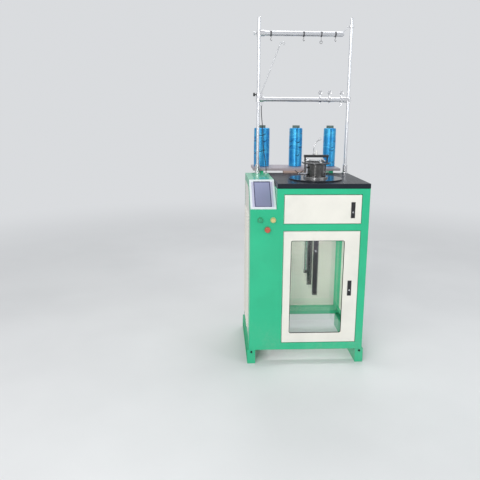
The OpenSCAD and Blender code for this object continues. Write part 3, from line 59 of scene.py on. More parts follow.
class Wiring:
    """Adds nodes to one node tree and joins them."""

    def __init__(self, tree):
        self.tree = tree

    def feed(self, node, values):
        """Joins each value that is a socket to the node's input, and sets any other on the input itself."""
        for key, value in values.items():
            if isinstance(value, bpy.types.NodeSocket):
                self.tree.links.new(value, node.inputs[key])
            else:
                node.inputs[key].default_value = value

    def node(self, kind, values=None, **settings):
        """One node with its settings, and with values fed to its inputs."""
        made = self.tree.nodes.new(kind)
        for key, value in settings.items():
            setattr(made, key, value)
        self.feed(made, values or {})
        return made

    def math(self, operation, a, b=0.0, c=0.0):
        """The result of a Math node."""
        return self.node("ShaderNodeMath", {0: a, 1: b, 2: c}, operation=operation).outputs[0]

    def times(self, a, b):
        """a times b."""
        return self.math("MULTIPLY", a, b)

    def ramp(self, value, slope, start):
        """value times slope, plus start."""
        return self.math("MULTIPLY_ADD", value, slope, start)

    def between(self, value, low, high, to_low=0.0, to_high=1.0):
        """Value carried from the range low to high over to another range, clamped, with soft ends."""
        ranged = self.node(
            "ShaderNodeMapRange",
            {"Value": value, "From Min": low, "From Max": high, "To Min": to_low, "To Max": to_high},
            interpolation_type="SMOOTHSTEP",
        )
        return ranged.outputs[0]

    def mix(self, share, first, second):
        """Colour that goes from first to second as share goes from 0 to 1."""
        mixed = self.node("ShaderNodeMix", {0: share, 6: first, 7: second}, data_type="RGBA")
        return mixed.outputs[2]

    def vector(self, operation, a, b=(0.0, 0.0, 0.0)):
        """The outputs of a Vector Math node."""
        return self.node("ShaderNodeVectorMath", {0: a, 1: b}, operation=operation).outputs

    def apart(self, vector):
        """The X, Y and Z of a vector."""
        return self.node("ShaderNodeSeparateXYZ", {0: vector}).outputs

    def object_point(self, scale=(1.0, 1.0, 1.0), turn=(0.0, 0.0, 0.0)):
        """Object coordinates, scaled and turned."""
        where = self.node("ShaderNodeTexCoord").outputs["Object"]
        return self.node("ShaderNodeMapping", {"Vector": where, "Scale": scale, "Rotation": turn}).outputs[0]

    def noise(self, vector, scale, detail=3.0, roughness=0.5, distortion=0.0):
        """Fac of a Noise texture."""
        shape = {"Scale": scale, "Detail": detail, "Roughness": roughness, "Distortion": distortion}
        return self.node("ShaderNodeTexNoise", {"Vector": vector, **shape}).outputs["Fac"]

    def bump(self, height, strength, distance, normal=None):
        """Normal bumped by height, on top of another normal if one is given."""
        values = {"Height": height, "Strength": strength, "Distance": distance}
        if normal is not None:
            values["Normal"] = normal
        return self.node("ShaderNodeBump", values).outputs[0]


def effect_group(name, inputs, outputs):
    """Empty shader node group, from its inputs' labels and defaults and its outputs' labels. A default of
    three numbers and an output called Normal are vectors, and any other is a float. Gives the group's
    wiring, its inputs and its output node."""
    tree = bpy.data.node_groups.new(name, "ShaderNodeTree")
    for label, default in inputs.items():
        kind = "NodeSocketVector" if isinstance(default, tuple) else "NodeSocketFloat"
        tree.interface.new_socket(name=label, in_out="INPUT", socket_type=kind).default_value = default
    for label in outputs:
        kind = "NodeSocketVector" if label == "Normal" else "NodeSocketFloat"
        tree.interface.new_socket(name=label, in_out="OUTPUT", socket_type=kind)
    return Wiring(tree), tree.nodes.new("NodeGroupInput").outputs, tree.nodes.new("NodeGroupOutput")


def edge_wear_group(name):
    """Mask of rubbed edges: how far a rounded normal leans from the true one, broken up by noise."""
    w, given, result = effect_group(name, {"Radius": 0.002, "Scale": 60.0}, ["Mask", "Normal"])
    rounded = w.node("ShaderNodeBevel", {"Radius": given["Radius"]}, samples=6).outputs[0]
    true = w.node("ShaderNodeNewGeometry").outputs["True Normal"]
    lean = w.vector("DOT_PRODUCT", rounded, true)["Value"]
    rough = w.noise(w.object_point(), given["Scale"], 5.0, 0.7)
    edge = w.between(w.math("SUBTRACT", 1.0, lean), 0.03, 0.25)
    w.feed(result, {"Mask": w.times(edge, w.between(rough, 0.52, 0.66)), "Normal": rounded})
    return w.tree


def coating_group(name):
    """Skin of a sprayed coating: fine orange peel for the bump and a broad unevenness of tone."""
    w, given, result = effect_group(name, {"Peel scale": 900.0, "Blotch scale": 5.0}, ["Height", "Tone"])
    point = w.object_point()
    w.feed(result, {
        "Height": w.noise(point, given["Peel scale"], 1.5, 0.4),
        "Tone": w.noise(point, given["Blotch scale"], 4.0, 0.55, 0.4),
    })
    return w.tree


def dust_group(name):
    """Mask of settled dust: surfaces that face up and the foot of upright ones, broken up by noise."""
    w, given, result = effect_group(name, {"Amount": 0.5, "Foot height": 0.35}, ["Mask"])
    where = w.object_point()
    flat = w.between(w.apart(w.node("ShaderNodeNewGeometry").outputs["True Normal"])["Z"], 0.55, 0.98)
    low = w.between(w.apart(where)["Z"], 0.0, given["Foot height"], 0.7, 0.0)
    speck = w.between(w.noise(where, 45.0, 6.0, 0.65), 0.4, 0.72)
    cloud = w.between(w.noise(where, 3.2, 3.0), 0.3, 0.75)
    lain = w.times(w.math("MAXIMUM", flat, low), w.ramp(speck, 0.6, 0.4))
    w.feed(result, {"Mask": w.times(w.times(lain, cloud), given["Amount"])})
    return w.tree


def grain_group(name):
    """Fine parallel machining lines: noise stretched along the lines, and a broad variation of tone."""
    inputs = {"Stretch": (1.0, 1.0, 1.0), "Scale": 300.0}
    w, given, result = effect_group(name, inputs, ["Height", "Tone"])
    where = w.node("ShaderNodeTexCoord").outputs["Object"]
    drawn = w.vector("MULTIPLY", where, given["Stretch"])[0]
    w.feed(result, {
        "Height": w.noise(drawn, given["Scale"], 4.0, 0.7),
        "Tone": w.noise(where, 22.0, 4.0, 0.6),
    })
    return w.tree


def turning_group(name):
    """Lathe marks round an upright axis: noise of the distance from the axis and of the height alone."""
    inputs = {"Axis": (0.0, 0.0, 0.0), "Scale": 900.0}
    w, given, result = effect_group(name, inputs, ["Height", "Tone"])
    where = w.node("ShaderNodeTexCoord").outputs["Object"]
    moved = w.apart(w.vector("SUBTRACT", where, given["Axis"])[0])
    flat = w.node("ShaderNodeCombineXYZ", {"X": moved["X"], "Y": moved["Y"]}).outputs[0]
    away = w.vector("LENGTH", flat)["Value"]
    track = w.node("ShaderNodeCombineXYZ", {"X": away, "Z": moved["Z"]}).outputs[0]
    w.feed(result, {
        "Height": w.noise(track, given["Scale"], 2.0, 0.6),
        "Tone": w.noise(where, 30.0, 4.0, 0.6),
    })
    return w.tree


effect_builders = {
    "Edge wear": edge_wear_group,
    "Sprayed coating": coating_group,
    "Settled dust": dust_group,
    "Machining lines": grain_group,
    "Lathe marks": turning_group,
}


def effect(w, name, values=None):
    """Outputs of a shared effect placed in a material. Its group is built the first time."""
    group = bpy.data.node_groups.get(name) or effect_builders[name](name)
    return w.node("ShaderNodeGroup", values, node_tree=group).outputs


# Materials


def opaque(colour, share=1.0):
    """A colour times a share, at most white, with full alpha."""
    return (*[min(1.0, c * share) for c in colour], 1.0)


def material(name, viewport):
    """Empty material with its wiring and a Principled shader. viewport is the solid view's colour."""
    made = bpy.data.materials.new(name)
    made.use_nodes = True
    made.node_tree.nodes.clear()
    made.diffuse_color = opaque(viewport[:3])
    w = Wiring(made.node_tree)
    shader = w.node("ShaderNodeBsdfPrincipled")
    w.node("ShaderNodeOutputMaterial", {"Surface": shader.outputs[0]})
    return made, w, shader


def sprayed_steel(
    name, colour, roughness, worn=(0.30, 0.31, 0.32), dust=0.35, coat=0.25, gloss=0.5, edge=0.0016,
    rubbing=0.55,
):
    """Sheet steel with a sprayed coat: orange peel, uneven tone, rubbed edges and dust. edge is the radius
    of the rounded folds in metres, and rubbing is how far the paint is gone where they are rubbed."""
    made, w, shader = material(name, colour)
    coating = effect(w, "Sprayed coating")
    wear = effect(w, "Edge wear", {"Radius": edge, "Scale": 85.0})
    dirt = effect(w, "Settled dust", {"Amount": dust})
    paint = w.mix(w.between(coating["Tone"], 0.3, 0.7), opaque(colour, 0.94), opaque(colour, 1.03))
    rubbed = w.mix(w.times(wear["Mask"], rubbing), paint, opaque(worn))
    rough = w.ramp(coating["Tone"], 0.14, roughness - 0.07)
    w.feed(shader, {
        "Base Color": w.mix(dirt["Mask"], rubbed, (0.42, 0.41, 0.38, 1.0)),
        "Roughness": w.ramp(dirt["Mask"], 0.35, rough),
        "Specular IOR Level": gloss,
        "Coat Weight": coat,
        "Coat Roughness": 0.07,
        "Normal": w.bump(coating["Height"], 0.5, 0.00012, wear["Normal"]),
    })
    return made


def bare_steel(name, colour, roughness, stretch=(1.0, 1.0, 18.0), scale=70.0, soil=0.5, relief=0.25):
    """Machined or drawn metal with fine lines across the stretched direction and oily marks. relief is how
    strongly the lines are felt."""
    made, w, shader = material(name, colour)
    lines = effect(w, "Machining lines", {"Stretch": stretch, "Scale": scale})
    wear = effect(w, "Edge wear", {"Radius": 0.0008, "Scale": 140.0})
    tone = w.between(lines["Tone"], 0.35, 0.7)
    base = w.mix(tone, opaque(colour, 1 - 0.55 * soil), opaque(colour))
    w.feed(shader, {
        "Base Color": w.mix(wear["Mask"], base, opaque(colour, 1.15)),
        "Metallic": 1.0,
        "Roughness": w.ramp(tone, -0.08, w.ramp(lines["Height"], 0.22, roughness - 0.11)),
        "Normal": w.bump(lines["Height"], relief, 0.00015, wear["Normal"]),
    })
    return made


def turned_steel(name, colour, roughness, axis, soil=0.5):
    """Metal turned on a lathe round an upright axis through the given point."""
    made, w, shader = material(name, colour)
    marks = effect(w, "Lathe marks", {"Axis": axis, "Scale": 1100.0})
    wear = effect(w, "Edge wear", {"Radius": 0.0008, "Scale": 120.0})
    tone = w.between(marks["Tone"], 0.32, 0.7)
    base = w.mix(tone, opaque(colour, 1 - 0.6 * soil), opaque(colour))
    w.feed(shader, {
        "Base Color": w.mix(wear["Mask"], base, opaque(colour, 1.2)),
        "Metallic": 1.0,
        "Roughness": w.ramp(tone, -0.06, w.ramp(marks["Height"], 0.25, roughness - 0.12)),
        "Normal": w.bump(marks["Height"], 0.3, 0.0002, wear["Normal"]),
    })
    return made


def moulded_skin(w, point, scale):
    """Normal of moulded plastic: fine grain on softened edges."""
    wear = effect(w, "Edge wear", {"Radius": 0.0008, "Scale": 200.0})
    return w.bump(w.noise(point, scale, 2.0), 0.25, 0.0001, wear["Normal"])


def moulded_plastic(name, colour, roughness, coat=0.0):
    """Moulded plastic: slight grain, faint handling marks and soft edges."""
    made, w, shader = material(name, colour)
    point = w.object_point()
    tone = w.between(w.noise(point, 60.0, 4.0), 0.3, 0.7)
    w.feed(shader, {
        "Base Color": w.mix(tone, opaque(colour, 0.85), opaque(colour)),
        "Roughness": w.ramp(w.noise(point, 140.0, 3.0), 0.2, roughness - 0.1),
        "Coat Weight": coat,
        "Coat Roughness": 0.08,
        "Normal": moulded_skin(w, point, 1800.0),
    })
    return made


def knob_finish(name, black, bright):
    """Star knobs: black plastic at the knitting head and on the rod's collar, bright metal on the clamps.
    The head's knobs are the lowest, and the collar's stands out furthest to the left, under the bar."""
    made, w, shader = material(name, black)
    point = w.object_point()
    where = w.apart(point)
    head_level, bar_level, reach = 1.40, 1.80, 0.024
    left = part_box("star_knobs")[0].x + reach
    beside = w.between(where["X"], left, left + 0.001, 1.0, 0.0)
    under_bar = w.between(where["Z"], bar_level, bar_level + 0.01, 1.0, 0.0)
    at_head = w.between(where["Z"], head_level, head_level + 0.01, 1.0, 0.0)
    plastic = w.math("MAXIMUM", w.times(beside, under_bar), at_head)
    w.feed(shader, {
        "Base Color": w.mix(plastic, opaque(bright), opaque(black)),
        "Metallic": w.math("SUBTRACT", 1.0, plastic),
        "Roughness": w.ramp(w.noise(point, 90.0, 4.0), 0.2, 0.25),
        "Normal": moulded_skin(w, point, 1500.0),
    })
    return made


def field_mask(w, where, node, rim):
    """Mask of a CAD node's face less a rim all round, in X and Z: 1 inside, with an edge 1 mm soft."""
    low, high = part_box(node)
    soft = 0.001
    spans = []
    for axis, start, end in (("X", low.x + rim, high.x - rim), ("Z", low.z + rim, high.z - rim)):
        entered = w.between(where[axis], start, start + soft)
        spans.append(w.times(entered, w.between(where[axis], end - soft, end, 1.0, 0.0)))
    return w.times(*spans)


def display_glass(name, colour):
    """Touch display behind glass: a panel with painted light, lighter towards the top, inside a dark border,
    with finger marks in the gloss.
    """
    made, w, shader = material(name, colour)
    where = w.apart(w.object_point())
    low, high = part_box("screen")
    border = 0.005
    # Painted light: the panel goes from 0.85 to 1.2 of its colour from bottom to top.
    painted_light_rise = w.between(where["Z"], low.z, high.z)
    painted_light_panel = w.mix(painted_light_rise, opaque(colour, 0.85), opaque(colour, 1.2))
    smear = w.between(w.noise(w.object_point((1.0, 1.0, 0.6), (0.0, 0.4, 0.0)), 40.0, 5.0, 0.6), 0.45, 0.7)
    w.feed(shader, {
        "Base Color": w.mix(field_mask(w, where, "screen", border), (0.07, 0.075, 0.16, 1.0), painted_light_panel),
        "Roughness": w.ramp(smear, 0.18, 0.1),
        "Coat Weight": 0.6,
        "Coat Roughness": 0.03,
    })
    return made


def lamp_collars(name, colours):
    """Rings of the push buttons, each in its lens's colour: start, jog, and stop, which lies lower."""
    made, w, shader = material(name, colours[0])
    point = w.object_point()
    where = w.apart(point)
    split = (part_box("start_button")[0].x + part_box("jog_button")[0].x) / 2
    over_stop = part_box("stop_button")[1].z + 0.006
    to_right = w.between(where["X"], split, split + 0.001)
    at_stop = w.between(where["Z"], over_stop, over_stop + 0.001, 1.0, 0.0)
    ring = w.mix(at_stop, w.mix(to_right, opaque(colours[0]), opaque(colours[1])), opaque(colours[2]))
    scuff = w.between(w.noise(point, 160.0, 4.0), 0.35, 0.7)
    w.feed(shader, {
        "Base Color": w.mix(w.times(scuff, 0.35), ring, (0.3, 0.3, 0.27, 1.0)),
        "Roughness": w.ramp(scuff, 0.15, 0.28),
        "Metallic": 0.35,
    })
    return made


def framed_plastic(name, colour, inner):
    """Moulded screen frame: pale rim with a tinted field inside it on both sides of the display."""
    made, w, shader = material(name, colour)
    point = w.object_point()
    rim = 0.012
    face = w.mix(field_mask(w, w.apart(point), "screen_bezel", rim), opaque(colour), opaque(inner))
    tone = w.noise(point, 60.0, 4.0)
    w.feed(shader, {
        "Base Color": w.mix(w.times(tone, 0.12), face, (0.3, 0.3, 0.32, 1.0)),
        "Roughness": w.ramp(tone, 0.15, 0.28),
        "Normal": moulded_skin(w, point, 1500.0),
    })
    return made


def clear_sheet(name, tint, edge_band_colour):
    """Thin clear acrylic with faint wiping marks, and an opaque dark band along the edge of the door's
    opening: a point is on the band where it is outside a smaller rectangle with round corners. lap is how
    far the pane goes past the opening, band is the band's width and corner its inner radius."""
    made, w, shader = material(name, tint)
    low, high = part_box("window_pane")
    lap, band, corner, soft = 0.014, 0.0035, 0.009, 0.0003
    where = w.apart(w.object_point())
    out = []
    for axis, start, end in (("X", low.x, high.x), ("Z", low.z, high.z)):
        off = w.math("ABSOLUTE", w.math("SUBTRACT", where[axis], (start + end) / 2))
        past = w.math("SUBTRACT", off, (end - start) / 2 - lap - band - corner)
        out.append(w.math("POWER", w.math("MAXIMUM", past, 0.0), 2.0))
    away = w.math("SQRT", w.math("ADD", *out))
    # Opaque dark band along the edge of the opening.
    in_edge_band = w.between(away, corner - soft, corner + soft)
    marks = w.between(w.noise(w.object_point((1.0, 1.0, 0.35)), 26.0, 6.0, 0.6), 0.5, 0.75)
    w.feed(shader, {
        "Base Color": w.mix(in_edge_band, opaque(tint), opaque(edge_band_colour)),
        "Alpha": w.ramp(in_edge_band, 0.86, 0.14),
        "Metallic": 0.0,
        "Transmission Weight": 1.0,
        "IOR": 1.2,
        "Roughness": w.ramp(marks, 0.05, 0.01),
    })
    return made


def laminate(name, colour):
    """Pale laminated board: soft streaks along its length, fine flecks and a satin face."""
    made, w, shader = material(name, colour)
    streak = w.noise(w.object_point((0.25, 1.0, 1.0)), 26.0, 5.0, 0.6, 0.6)
    fleck = w.between(w.noise(w.object_point(), 420.0, 2.0), 0.55, 0.7)
    wear = effect(w, "Edge wear", {"Radius": 0.0012, "Scale": 60.0})
    body = w.mix(w.between(streak, 0.3, 0.7), opaque(colour, 0.85), opaque(colour, 1.1))
    flecked = w.mix(w.times(fleck, 0.25), body, (0.3, 0.24, 0.22, 1.0))
    w.feed(shader, {
        "Base Color": w.mix(wear["Mask"], flecked, (0.36, 0.26, 0.18, 1.0)),
        "Roughness": w.ramp(streak, 0.15, 0.36),
        "Normal": w.bump(streak, 0.2, 0.0003, wear["Normal"]),
    })
    return made


def sawn_wood(name, colour):
    """Sawn softwood: year rings drawn out along X, saw marks and open grain."""
    made, w, shader = material(name, colour)
    ring = w.node(
        "ShaderNodeTexWave",
        {
            "Vector": w.object_point((0.12, 1.0, 1.0)), "Scale": 34.0, "Distortion": 5.0, "Detail": 3.0,
            "Detail Scale": 1.4,
        },
        bands_direction="Z",
    ).outputs["Fac"]
    fibre = w.noise(w.object_point((0.05, 1.0, 1.0)), 700.0, 3.0, 0.7)
    dark = opaque(colour, 0.6)
    body = w.mix(w.between(ring, 0.2, 0.9), opaque(colour), dark)
    w.feed(shader, {
        "Base Color": w.mix(w.times(fibre, 0.3), body, dark),
        "Roughness": 0.75,
        "Normal": w.bump(w.math("ADD", ring, fibre), 0.4, 0.0006),
    })
    return made


def black_rubber(name, colour):
    """Rubber or cable jacket: matt, with a chalky bloom."""
    made, w, shader = material(name, colour)
    point = w.object_point()
    bloom = w.between(w.noise(point, 35.0, 5.0, 0.6), 0.4, 0.8)
    w.feed(shader, {
        "Base Color": w.mix(w.times(bloom, 0.3), opaque(colour), (0.16, 0.16, 0.15, 1.0)),
        "Roughness": w.ramp(bloom, 0.2, 0.5),
        "Normal": w.bump(w.noise(point, 1500.0, 2.0), 0.3, 0.0002),
    })
    return made


def wound_thread(name, colour, painted_highlight, shade):
    """Glossy wound filament: fine threads in two slanted directions on the package's own UV map, in metres.
    Its colour carries painted light: painted shade between the threads and in its creases, and painted
    highlight in broad random patches and on its loose turns. The gloss is drawn out up the package, across
    the threads."""
    made, w, shader = material(name, colour)
    lay = w.node("ShaderNodeUVMap", uv_map="winding").outputs[0]
    layers = []
    for lean in (0.33, -0.33):
        turned = w.node("ShaderNodeMapping", {"Vector": lay, "Rotation": (0.0, 0.0, lean)}).outputs[0]
        drawn = w.vector("MULTIPLY", turned, (0.06, 1.0, 1.0))[0]
        layers.append(w.noise(drawn, 900.0, 2.0, 0.6))
    threads = w.math("MAXIMUM", *layers)
    broad = w.between(w.noise(lay, 14.0, 4.0, 0.6), 0.3, 0.7)
    # Painted highlight: broad random patches up to half way to the highlight colour.
    body = w.mix(w.times(broad, 0.5), opaque(colour), opaque(painted_highlight))
    # Painted shade between the threads: where the thread noise is low, up to 0.45 of the way to the shade
    # colour.
    threads_painted_shade = w.mix(w.between(threads, 0.44, 0.62, 0.45, 0.0), body, opaque(shade))
    # crease and loose are the package's own marks, read here to paint shade and highlight.
    crease, loose = (
        w.node("ShaderNodeAttribute", attribute_name=mark).outputs["Fac"] for mark in ("crease", "loose")
    )
    # Painted shade in the creases: half way to a darker shade colour.
    crease_painted_shade = w.mix(crease, threads_painted_shade, opaque(shade, 0.5))
    w.feed(shader, {
        # Painted highlight on the loose turns.
        "Base Color": w.mix(w.times(loose, 0.8), crease_painted_shade, opaque(painted_highlight)),
        "Roughness": w.ramp(threads, -0.16, 0.42),
        "Metallic": 0.7,
        "Specular IOR Level": 0.9,
        "Anisotropic": 0.7,
        "Anisotropic Rotation": 0.25,
        "Tangent": w.node("ShaderNodeTangent", direction_type="UV_MAP", uv_map="winding").outputs[0],
        "Normal": w.bump(threads, 0.4, 0.0005),
    })
    return made


def pressed_paper(name, colour):
    """Spiral-wound paper tube."""
    made, w, shader = material(name, colour)
    fibre = w.noise(w.object_point(turn=(0.5, 0.0, 0.0)), 260.0, 5.0, 0.7)
    w.feed(shader, {
        "Base Color": w.mix(fibre, opaque(colour, 0.7), opaque(colour, 1.2)),
        "Roughness": 0.8,
        "Normal": w.bump(fibre, 0.4, 0.0003),
    })
    return made


def coat_nodes(made, *nodes):
    """Gives CAD nodes a material in place of their packed one."""
    for node in nodes:
        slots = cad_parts[node].data.materials
        slots.clear()
        slots.append(made)


# Surfaces


def upright_axis(node):
    """Foot of the upright axis through the middle of a CAD node's box."""
    low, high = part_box(node)
    return (low.x + high.x) / 2, (low.y + high.y) / 2, 0.0


def full_turn(steps):
    """Angles evenly round a full turn, each once."""
    return np.linspace(0, 2 * np.pi, steps, endpoint=False)


def grid_faces(rows, columns, close_rows=False, close_columns=True):
    """Quads of a grid of points stored row by row; a closed direction joins its last line to its first."""
    i = np.arange(rows if close_rows else rows - 1)[:, None]
    j = np.arange(columns if close_columns else columns - 1)[None, :]
    down, across = (i + 1) % rows, (j + 1) % columns
    corners = (i * columns + j, i * columns + across, down * columns + across, down * columns + j)
    return np.stack(np.broadcast_arrays(*corners), -1).reshape(-1, 4)


def piece(name, points, faces, made, body, smooth=True):
    """Mesh object at the origin from arrays of points and quads, in metres, riding on a body."""
    mesh = bpy.data.meshes.new(name)
    mesh.vertices.add(len(points))
    mesh.vertices.foreach_set("co", np.asarray(points, np.float32).ravel())
    loops = np.asarray(faces, np.int32)
    size = loops.shape[1]
    mesh.loops.add(loops.size)
    mesh.loops.foreach_set("vertex_index", loops.ravel())
    mesh.polygons.add(len(loops))
    mesh.polygons.foreach_set("loop_start", np.arange(len(loops), dtype=np.int32) * size)
    mesh.polygons.foreach_set("use_smooth", np.full(len(loops), smooth))
    mesh.update(calc_edges=True)
    mesh.validate()
    mesh.materials.append(made)
    obj = bpy.data.objects.new(name, mesh)
    bpy.context.scene.collection.objects.link(obj)
    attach(obj, body)
    return obj


def eased(share):
    """Soft step from 0 to 1: s squared times 3 minus 2 s, level at both ends."""
    s = np.clip(share, 0, 1)
    return s * s * (3 - 2 * s)


def cable_route(steps):
    """Centreline of the signal cable, from its gland up to the left clamp, in metres. Its height rises
    evenly, it leans to the pole in two soft steps and goes back in one."""
    foot, end = np.array([(-212, 234, 1105), (-248, 250, 1571)]) / 1000
    t = np.linspace(0, 1, steps)
    lean = 0.65 * eased((t - 0.06) / 0.44) + 0.35 * eased((t - 0.55) / 0.4)
    back = eased((t - 0.04) / 0.9)
    return foot + (end - foot) * np.stack([lean, back, t], -1)


def swept_tube(path, radius, sides):
    """Points and quads of a round tube along a path: ring k stands across the path's direction there, on
    axes made from the direction and Y, and its ends shrink to nearly nothing so that they close."""
    ahead = np.gradient(path, axis=0)
    ahead /= np.linalg.norm(ahead, axis=1)[:, None]
    side = np.cross((0.0, 1.0, 0.0), ahead)
    side /= np.linalg.norm(side, axis=1)[:, None]
    path, side, over = (np.pad(x, ((1, 1), (0, 0)), "edge") for x in (path, side, np.cross(ahead, side)))
    closing = 0.001
    radii = np.full((len(path), 1, 1), radius)
    radii[[0, -1]] *= closing
    turn = full_turn(sides)[None, :, None]
    points = path[:, None, :] + radii * (side[:, None, :] * np.cos(turn) + over[:, None, :] * np.sin(turn))
    return points.reshape(-1, 3), grid_faces(len(path), sides)


def turned_shape(profile, sides, hexed, at, along):
    """Points and quads of a solid of revolution: each profile row (radius, height) becomes a ring round the
    direction along, from the point at. In the rows named in hexed the ring is a hexagon: its radius is
    divided by the cosine of the angle from the middle of the nearest flat. The first and last rows have
    radius 0, which is drawn as a micrometre."""
    rows = np.asarray(profile, float)
    turn = full_turn(sides)
    flat = np.cos((turn + np.pi / 6) % (np.pi / 3) - np.pi / 6)
    least = 1e-6
    radii = np.repeat(np.maximum(rows[:, :1], least), sides, 1)
    radii[list(hexed)] /= flat[None, :]
    turned = np.array(Vector(along).to_track_quat("Z", "Y").to_matrix())
    local = np.stack([radii * np.cos(turn), radii * np.sin(turn), np.repeat(rows[:, 1:], sides, 1)], -1)
    return local.reshape(-1, 3) @ turned.T + np.asarray(at, float), grid_faces(len(rows), sides)


def socket_head(radius):
    """Profile of a socket screw's head from 1 mm below its seat, in shares of its radius: upright side,
    rounded rim, and a socket half as wide and 0.6 deep. Rows 5 and 6 are the socket's own."""
    crease_painted_shade = [(0, -0.001), (radius, -0.001)]
    rim = [(1, 0.8), (0.93, 1), (0.62, 1)]
    socket = [(0.5, 0.98), (0.5, 0.4), (0, 0.4)]
    return crease_painted_shade + [(radius * across, radius * up) for across, up in rim + socket]


def joined(shapes):
    """One array of points and one of quads from several."""
    points, faces, start = [], [], 0
    for some, quads in shapes:
        points.append(some)
        faces.append(quads + start)
        start += len(some)
    return np.vstack(points), np.vstack(faces)


def package_profile(radius, bore, low, high, rows):
    """Closed outline of a wound package in rows of radius and height: bore, rounded foot, a side that swells
    by a sine and is fullest half way up, and rounded top. It also gives each row's share of the relief,
    which is the fourth root of the sine on the side and 0 elsewhere."""
    belly, side_foot, side_top = 0.0012, 0.004, 0.005
    foot_rounding = ((0.0055, 0.0), (0.0024, 0.0012))
    top_rounding = ((0.004, 0.0015), (0.009, 0.0))
    z = np.linspace(low + side_foot, high - side_top, rows)
    share = (z - low) / (high - low)
    swell = np.sin(np.pi * share)
    side = np.stack([radius - belly * (1 - swell) - belly, z], 1)
    foot = [(bore, low)] + [(radius - inward, low + up) for inward, up in foot_rounding]
    top = [(radius - inward, high - down) for inward, down in top_rounding] + [(bore, high)]
    relief = np.concatenate([np.zeros(len(foot)), swell**0.25, np.zeros(len(top))])
    return np.vstack([foot, side, top]), relief[:, None]


def package_creases(height, turn, low, high, settings, rng):
    """Marks of the crescent creases, the most of several: each is a bell across a curve that bends upwards
    away from its middle, times a bell along it."""
    margin, bend, tilt = 0.03, 0.009, 0.006
    count = (settings.crease_count, 1, 1)
    middle = rng.uniform(0, 2 * np.pi, count)
    level = rng.uniform(low + margin, high - margin, count)
    width = rng.uniform(0.25, 0.6, count)
    along = ((turn - middle + np.pi) % (2 * np.pi) - np.pi) / width
    curve = level + bend * along**2 + tilt * along
    return np.exp(-(((height - curve) / settings.crease_width) ** 2) - along**4).max(0, initial=0.0)


def package_loose_turns(height, turn, low, high, settings, rng):
    """Marks of the loose turns, the most of several: each is a thin bell across a slanted ring."""
    thickness, slant, foot_room, top_room, shift = 0.0013, 0.02, 0.05, 0.03, 40
    count = (settings.loose_count, 1, 1)
    lean = rng.uniform(-slant, slant, count)
    level = rng.uniform(low + foot_room, high - top_room, count)
    ring = level + lean * np.cos(turn + shift * lean)
    return np.exp(-(((height - ring) / thickness) ** 2)).max(0, initial=0.0)


def package_surface(axis, radius, bore, low, high, settings, seed):
    """Wound package round an upright axis. On the side the profile's radius is lowered between two families
    of slanted ridges, the larger of two cosines of height plus or minus turn, lowered again in the creases
    and raised on the loose turns."""
    rng = np.random.default_rng(seed)
    climb = 3
    line, relief = package_profile(radius, bore, low, high, settings.package_rows)
    turn = full_turn(settings.package_columns)[None, :]
    height = line[:, 1:]
    waves = 2 * np.pi * (height - low) / settings.ridge_pitch
    ridge = np.maximum(np.cos(waves + climb * turn), np.cos(waves - climb * turn))
    crease = relief * package_creases(height, turn, low, high, settings, rng)
    loose = relief * package_loose_turns(height, turn, low, high, settings, rng) * (1 - crease)
    raised = settings.ridge_depth * ((ridge - 1) * relief + loose) - settings.crease_depth * crease
    radii = line[:, :1] + raised
    up = np.broadcast_to(height, radii.shape)
    points = np.stack([axis[0] + radii * np.cos(turn), axis[1] + radii * np.sin(turn), up], -1)
    faces = grid_faces(len(line), settings.package_columns, close_rows=True)
    return points.reshape(-1, 3), faces, line, {"crease": crease, "loose": loose}


def wind_package(name, node, settings, made, seed):
    """One yarn package in place of its CAD solid, with a UV map in metres unrolled round the package."""
    low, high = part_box(node)
    tube_low, tube_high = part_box("yarn_tubes")
    gap = 0.0001
    bore = (tube_high.y - tube_low.y) / 2 + gap
    radius = (high.x - low.x) / 2
    points, faces, line, marks = package_surface(
        upright_axis(node), radius, bore, low.z, high.z, settings, seed
    )
    obj = piece(name, points, faces, made, "machine")
    # The crease and loose marks are kept as attributes; the material paints shade in the creases and
    # highlight on the loose turns.
    for label, values in marks.items():
        mark = obj.data.attributes.new(label, "FLOAT", "POINT")
        mark.data.foreach_set("value", values.ravel().astype(np.float32))
    columns = settings.package_columns
    corner = np.empty(len(obj.data.loops), np.int32)
    obj.data.loops.foreach_get("vertex_index", corner)
    column, row = (corner % columns).reshape(-1, 4), corner // columns
    across = np.where((column == 0) & (column.max(1) == columns - 1)[:, None], columns, column).ravel()
    unrolled = np.stack([across * (2 * np.pi * radius / columns), line[row, 1]], -1)
    layer = obj.data.uv_layers.new(name="winding")
    layer.data.foreach_set("uv", unrolled.astype(np.float32).ravel())
    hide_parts(node)


# Settings


def colour_setting(name, description, default):
    """A colour."""
    return FloatVectorProperty(
        name=name, description=description, default=default, subtype="COLOR", size=3, min=0.0, max=1.0
    )


def power_setting(name, description, default, most=2000.0):
    """A lamp's power in watts."""
    return FloatProperty(
        name=name, description=description, default=default, unit="POWER", min=0.0, max=most
    )


def length_setting(name, description, low, high, default):
    """A length in metres."""
    return FloatProperty(
        name=name, description=description, default=default, unit="LENGTH", min=low, max=high
    )


def count_setting(name, description, low, high, default):
    """A whole number."""
    return IntProperty(name=name, description=description, default=default, min=low, max=high)


class StudioSettings(bpy.types.PropertyGroup):
    """Sky, backdrop and lights."""

    world_strength: FloatProperty(
        name="Sky", description="Strength of the even light from all round", min=0.0, max=2.0, default=0.52
    )
    backdrop: colour_setting("Backdrop", "Pale colour behind the machine", (0.70, 0.715, 0.735))
    key_power: power_setting("Key light", "Power of the large light at the left front", 56.0)
    strip_power: power_setting("Strip light", "Power of the upright light beside the camera", 30.0)
    fill_power: power_setting("Fill light", "Power of the light at the right front", 30.0)
    top_power: power_setting("Top light", "Power of the light above and behind", 45.0)
    inner_power: power_setting("Inner light", "Power of the small light behind the front sheet", 2.5, 100.0)


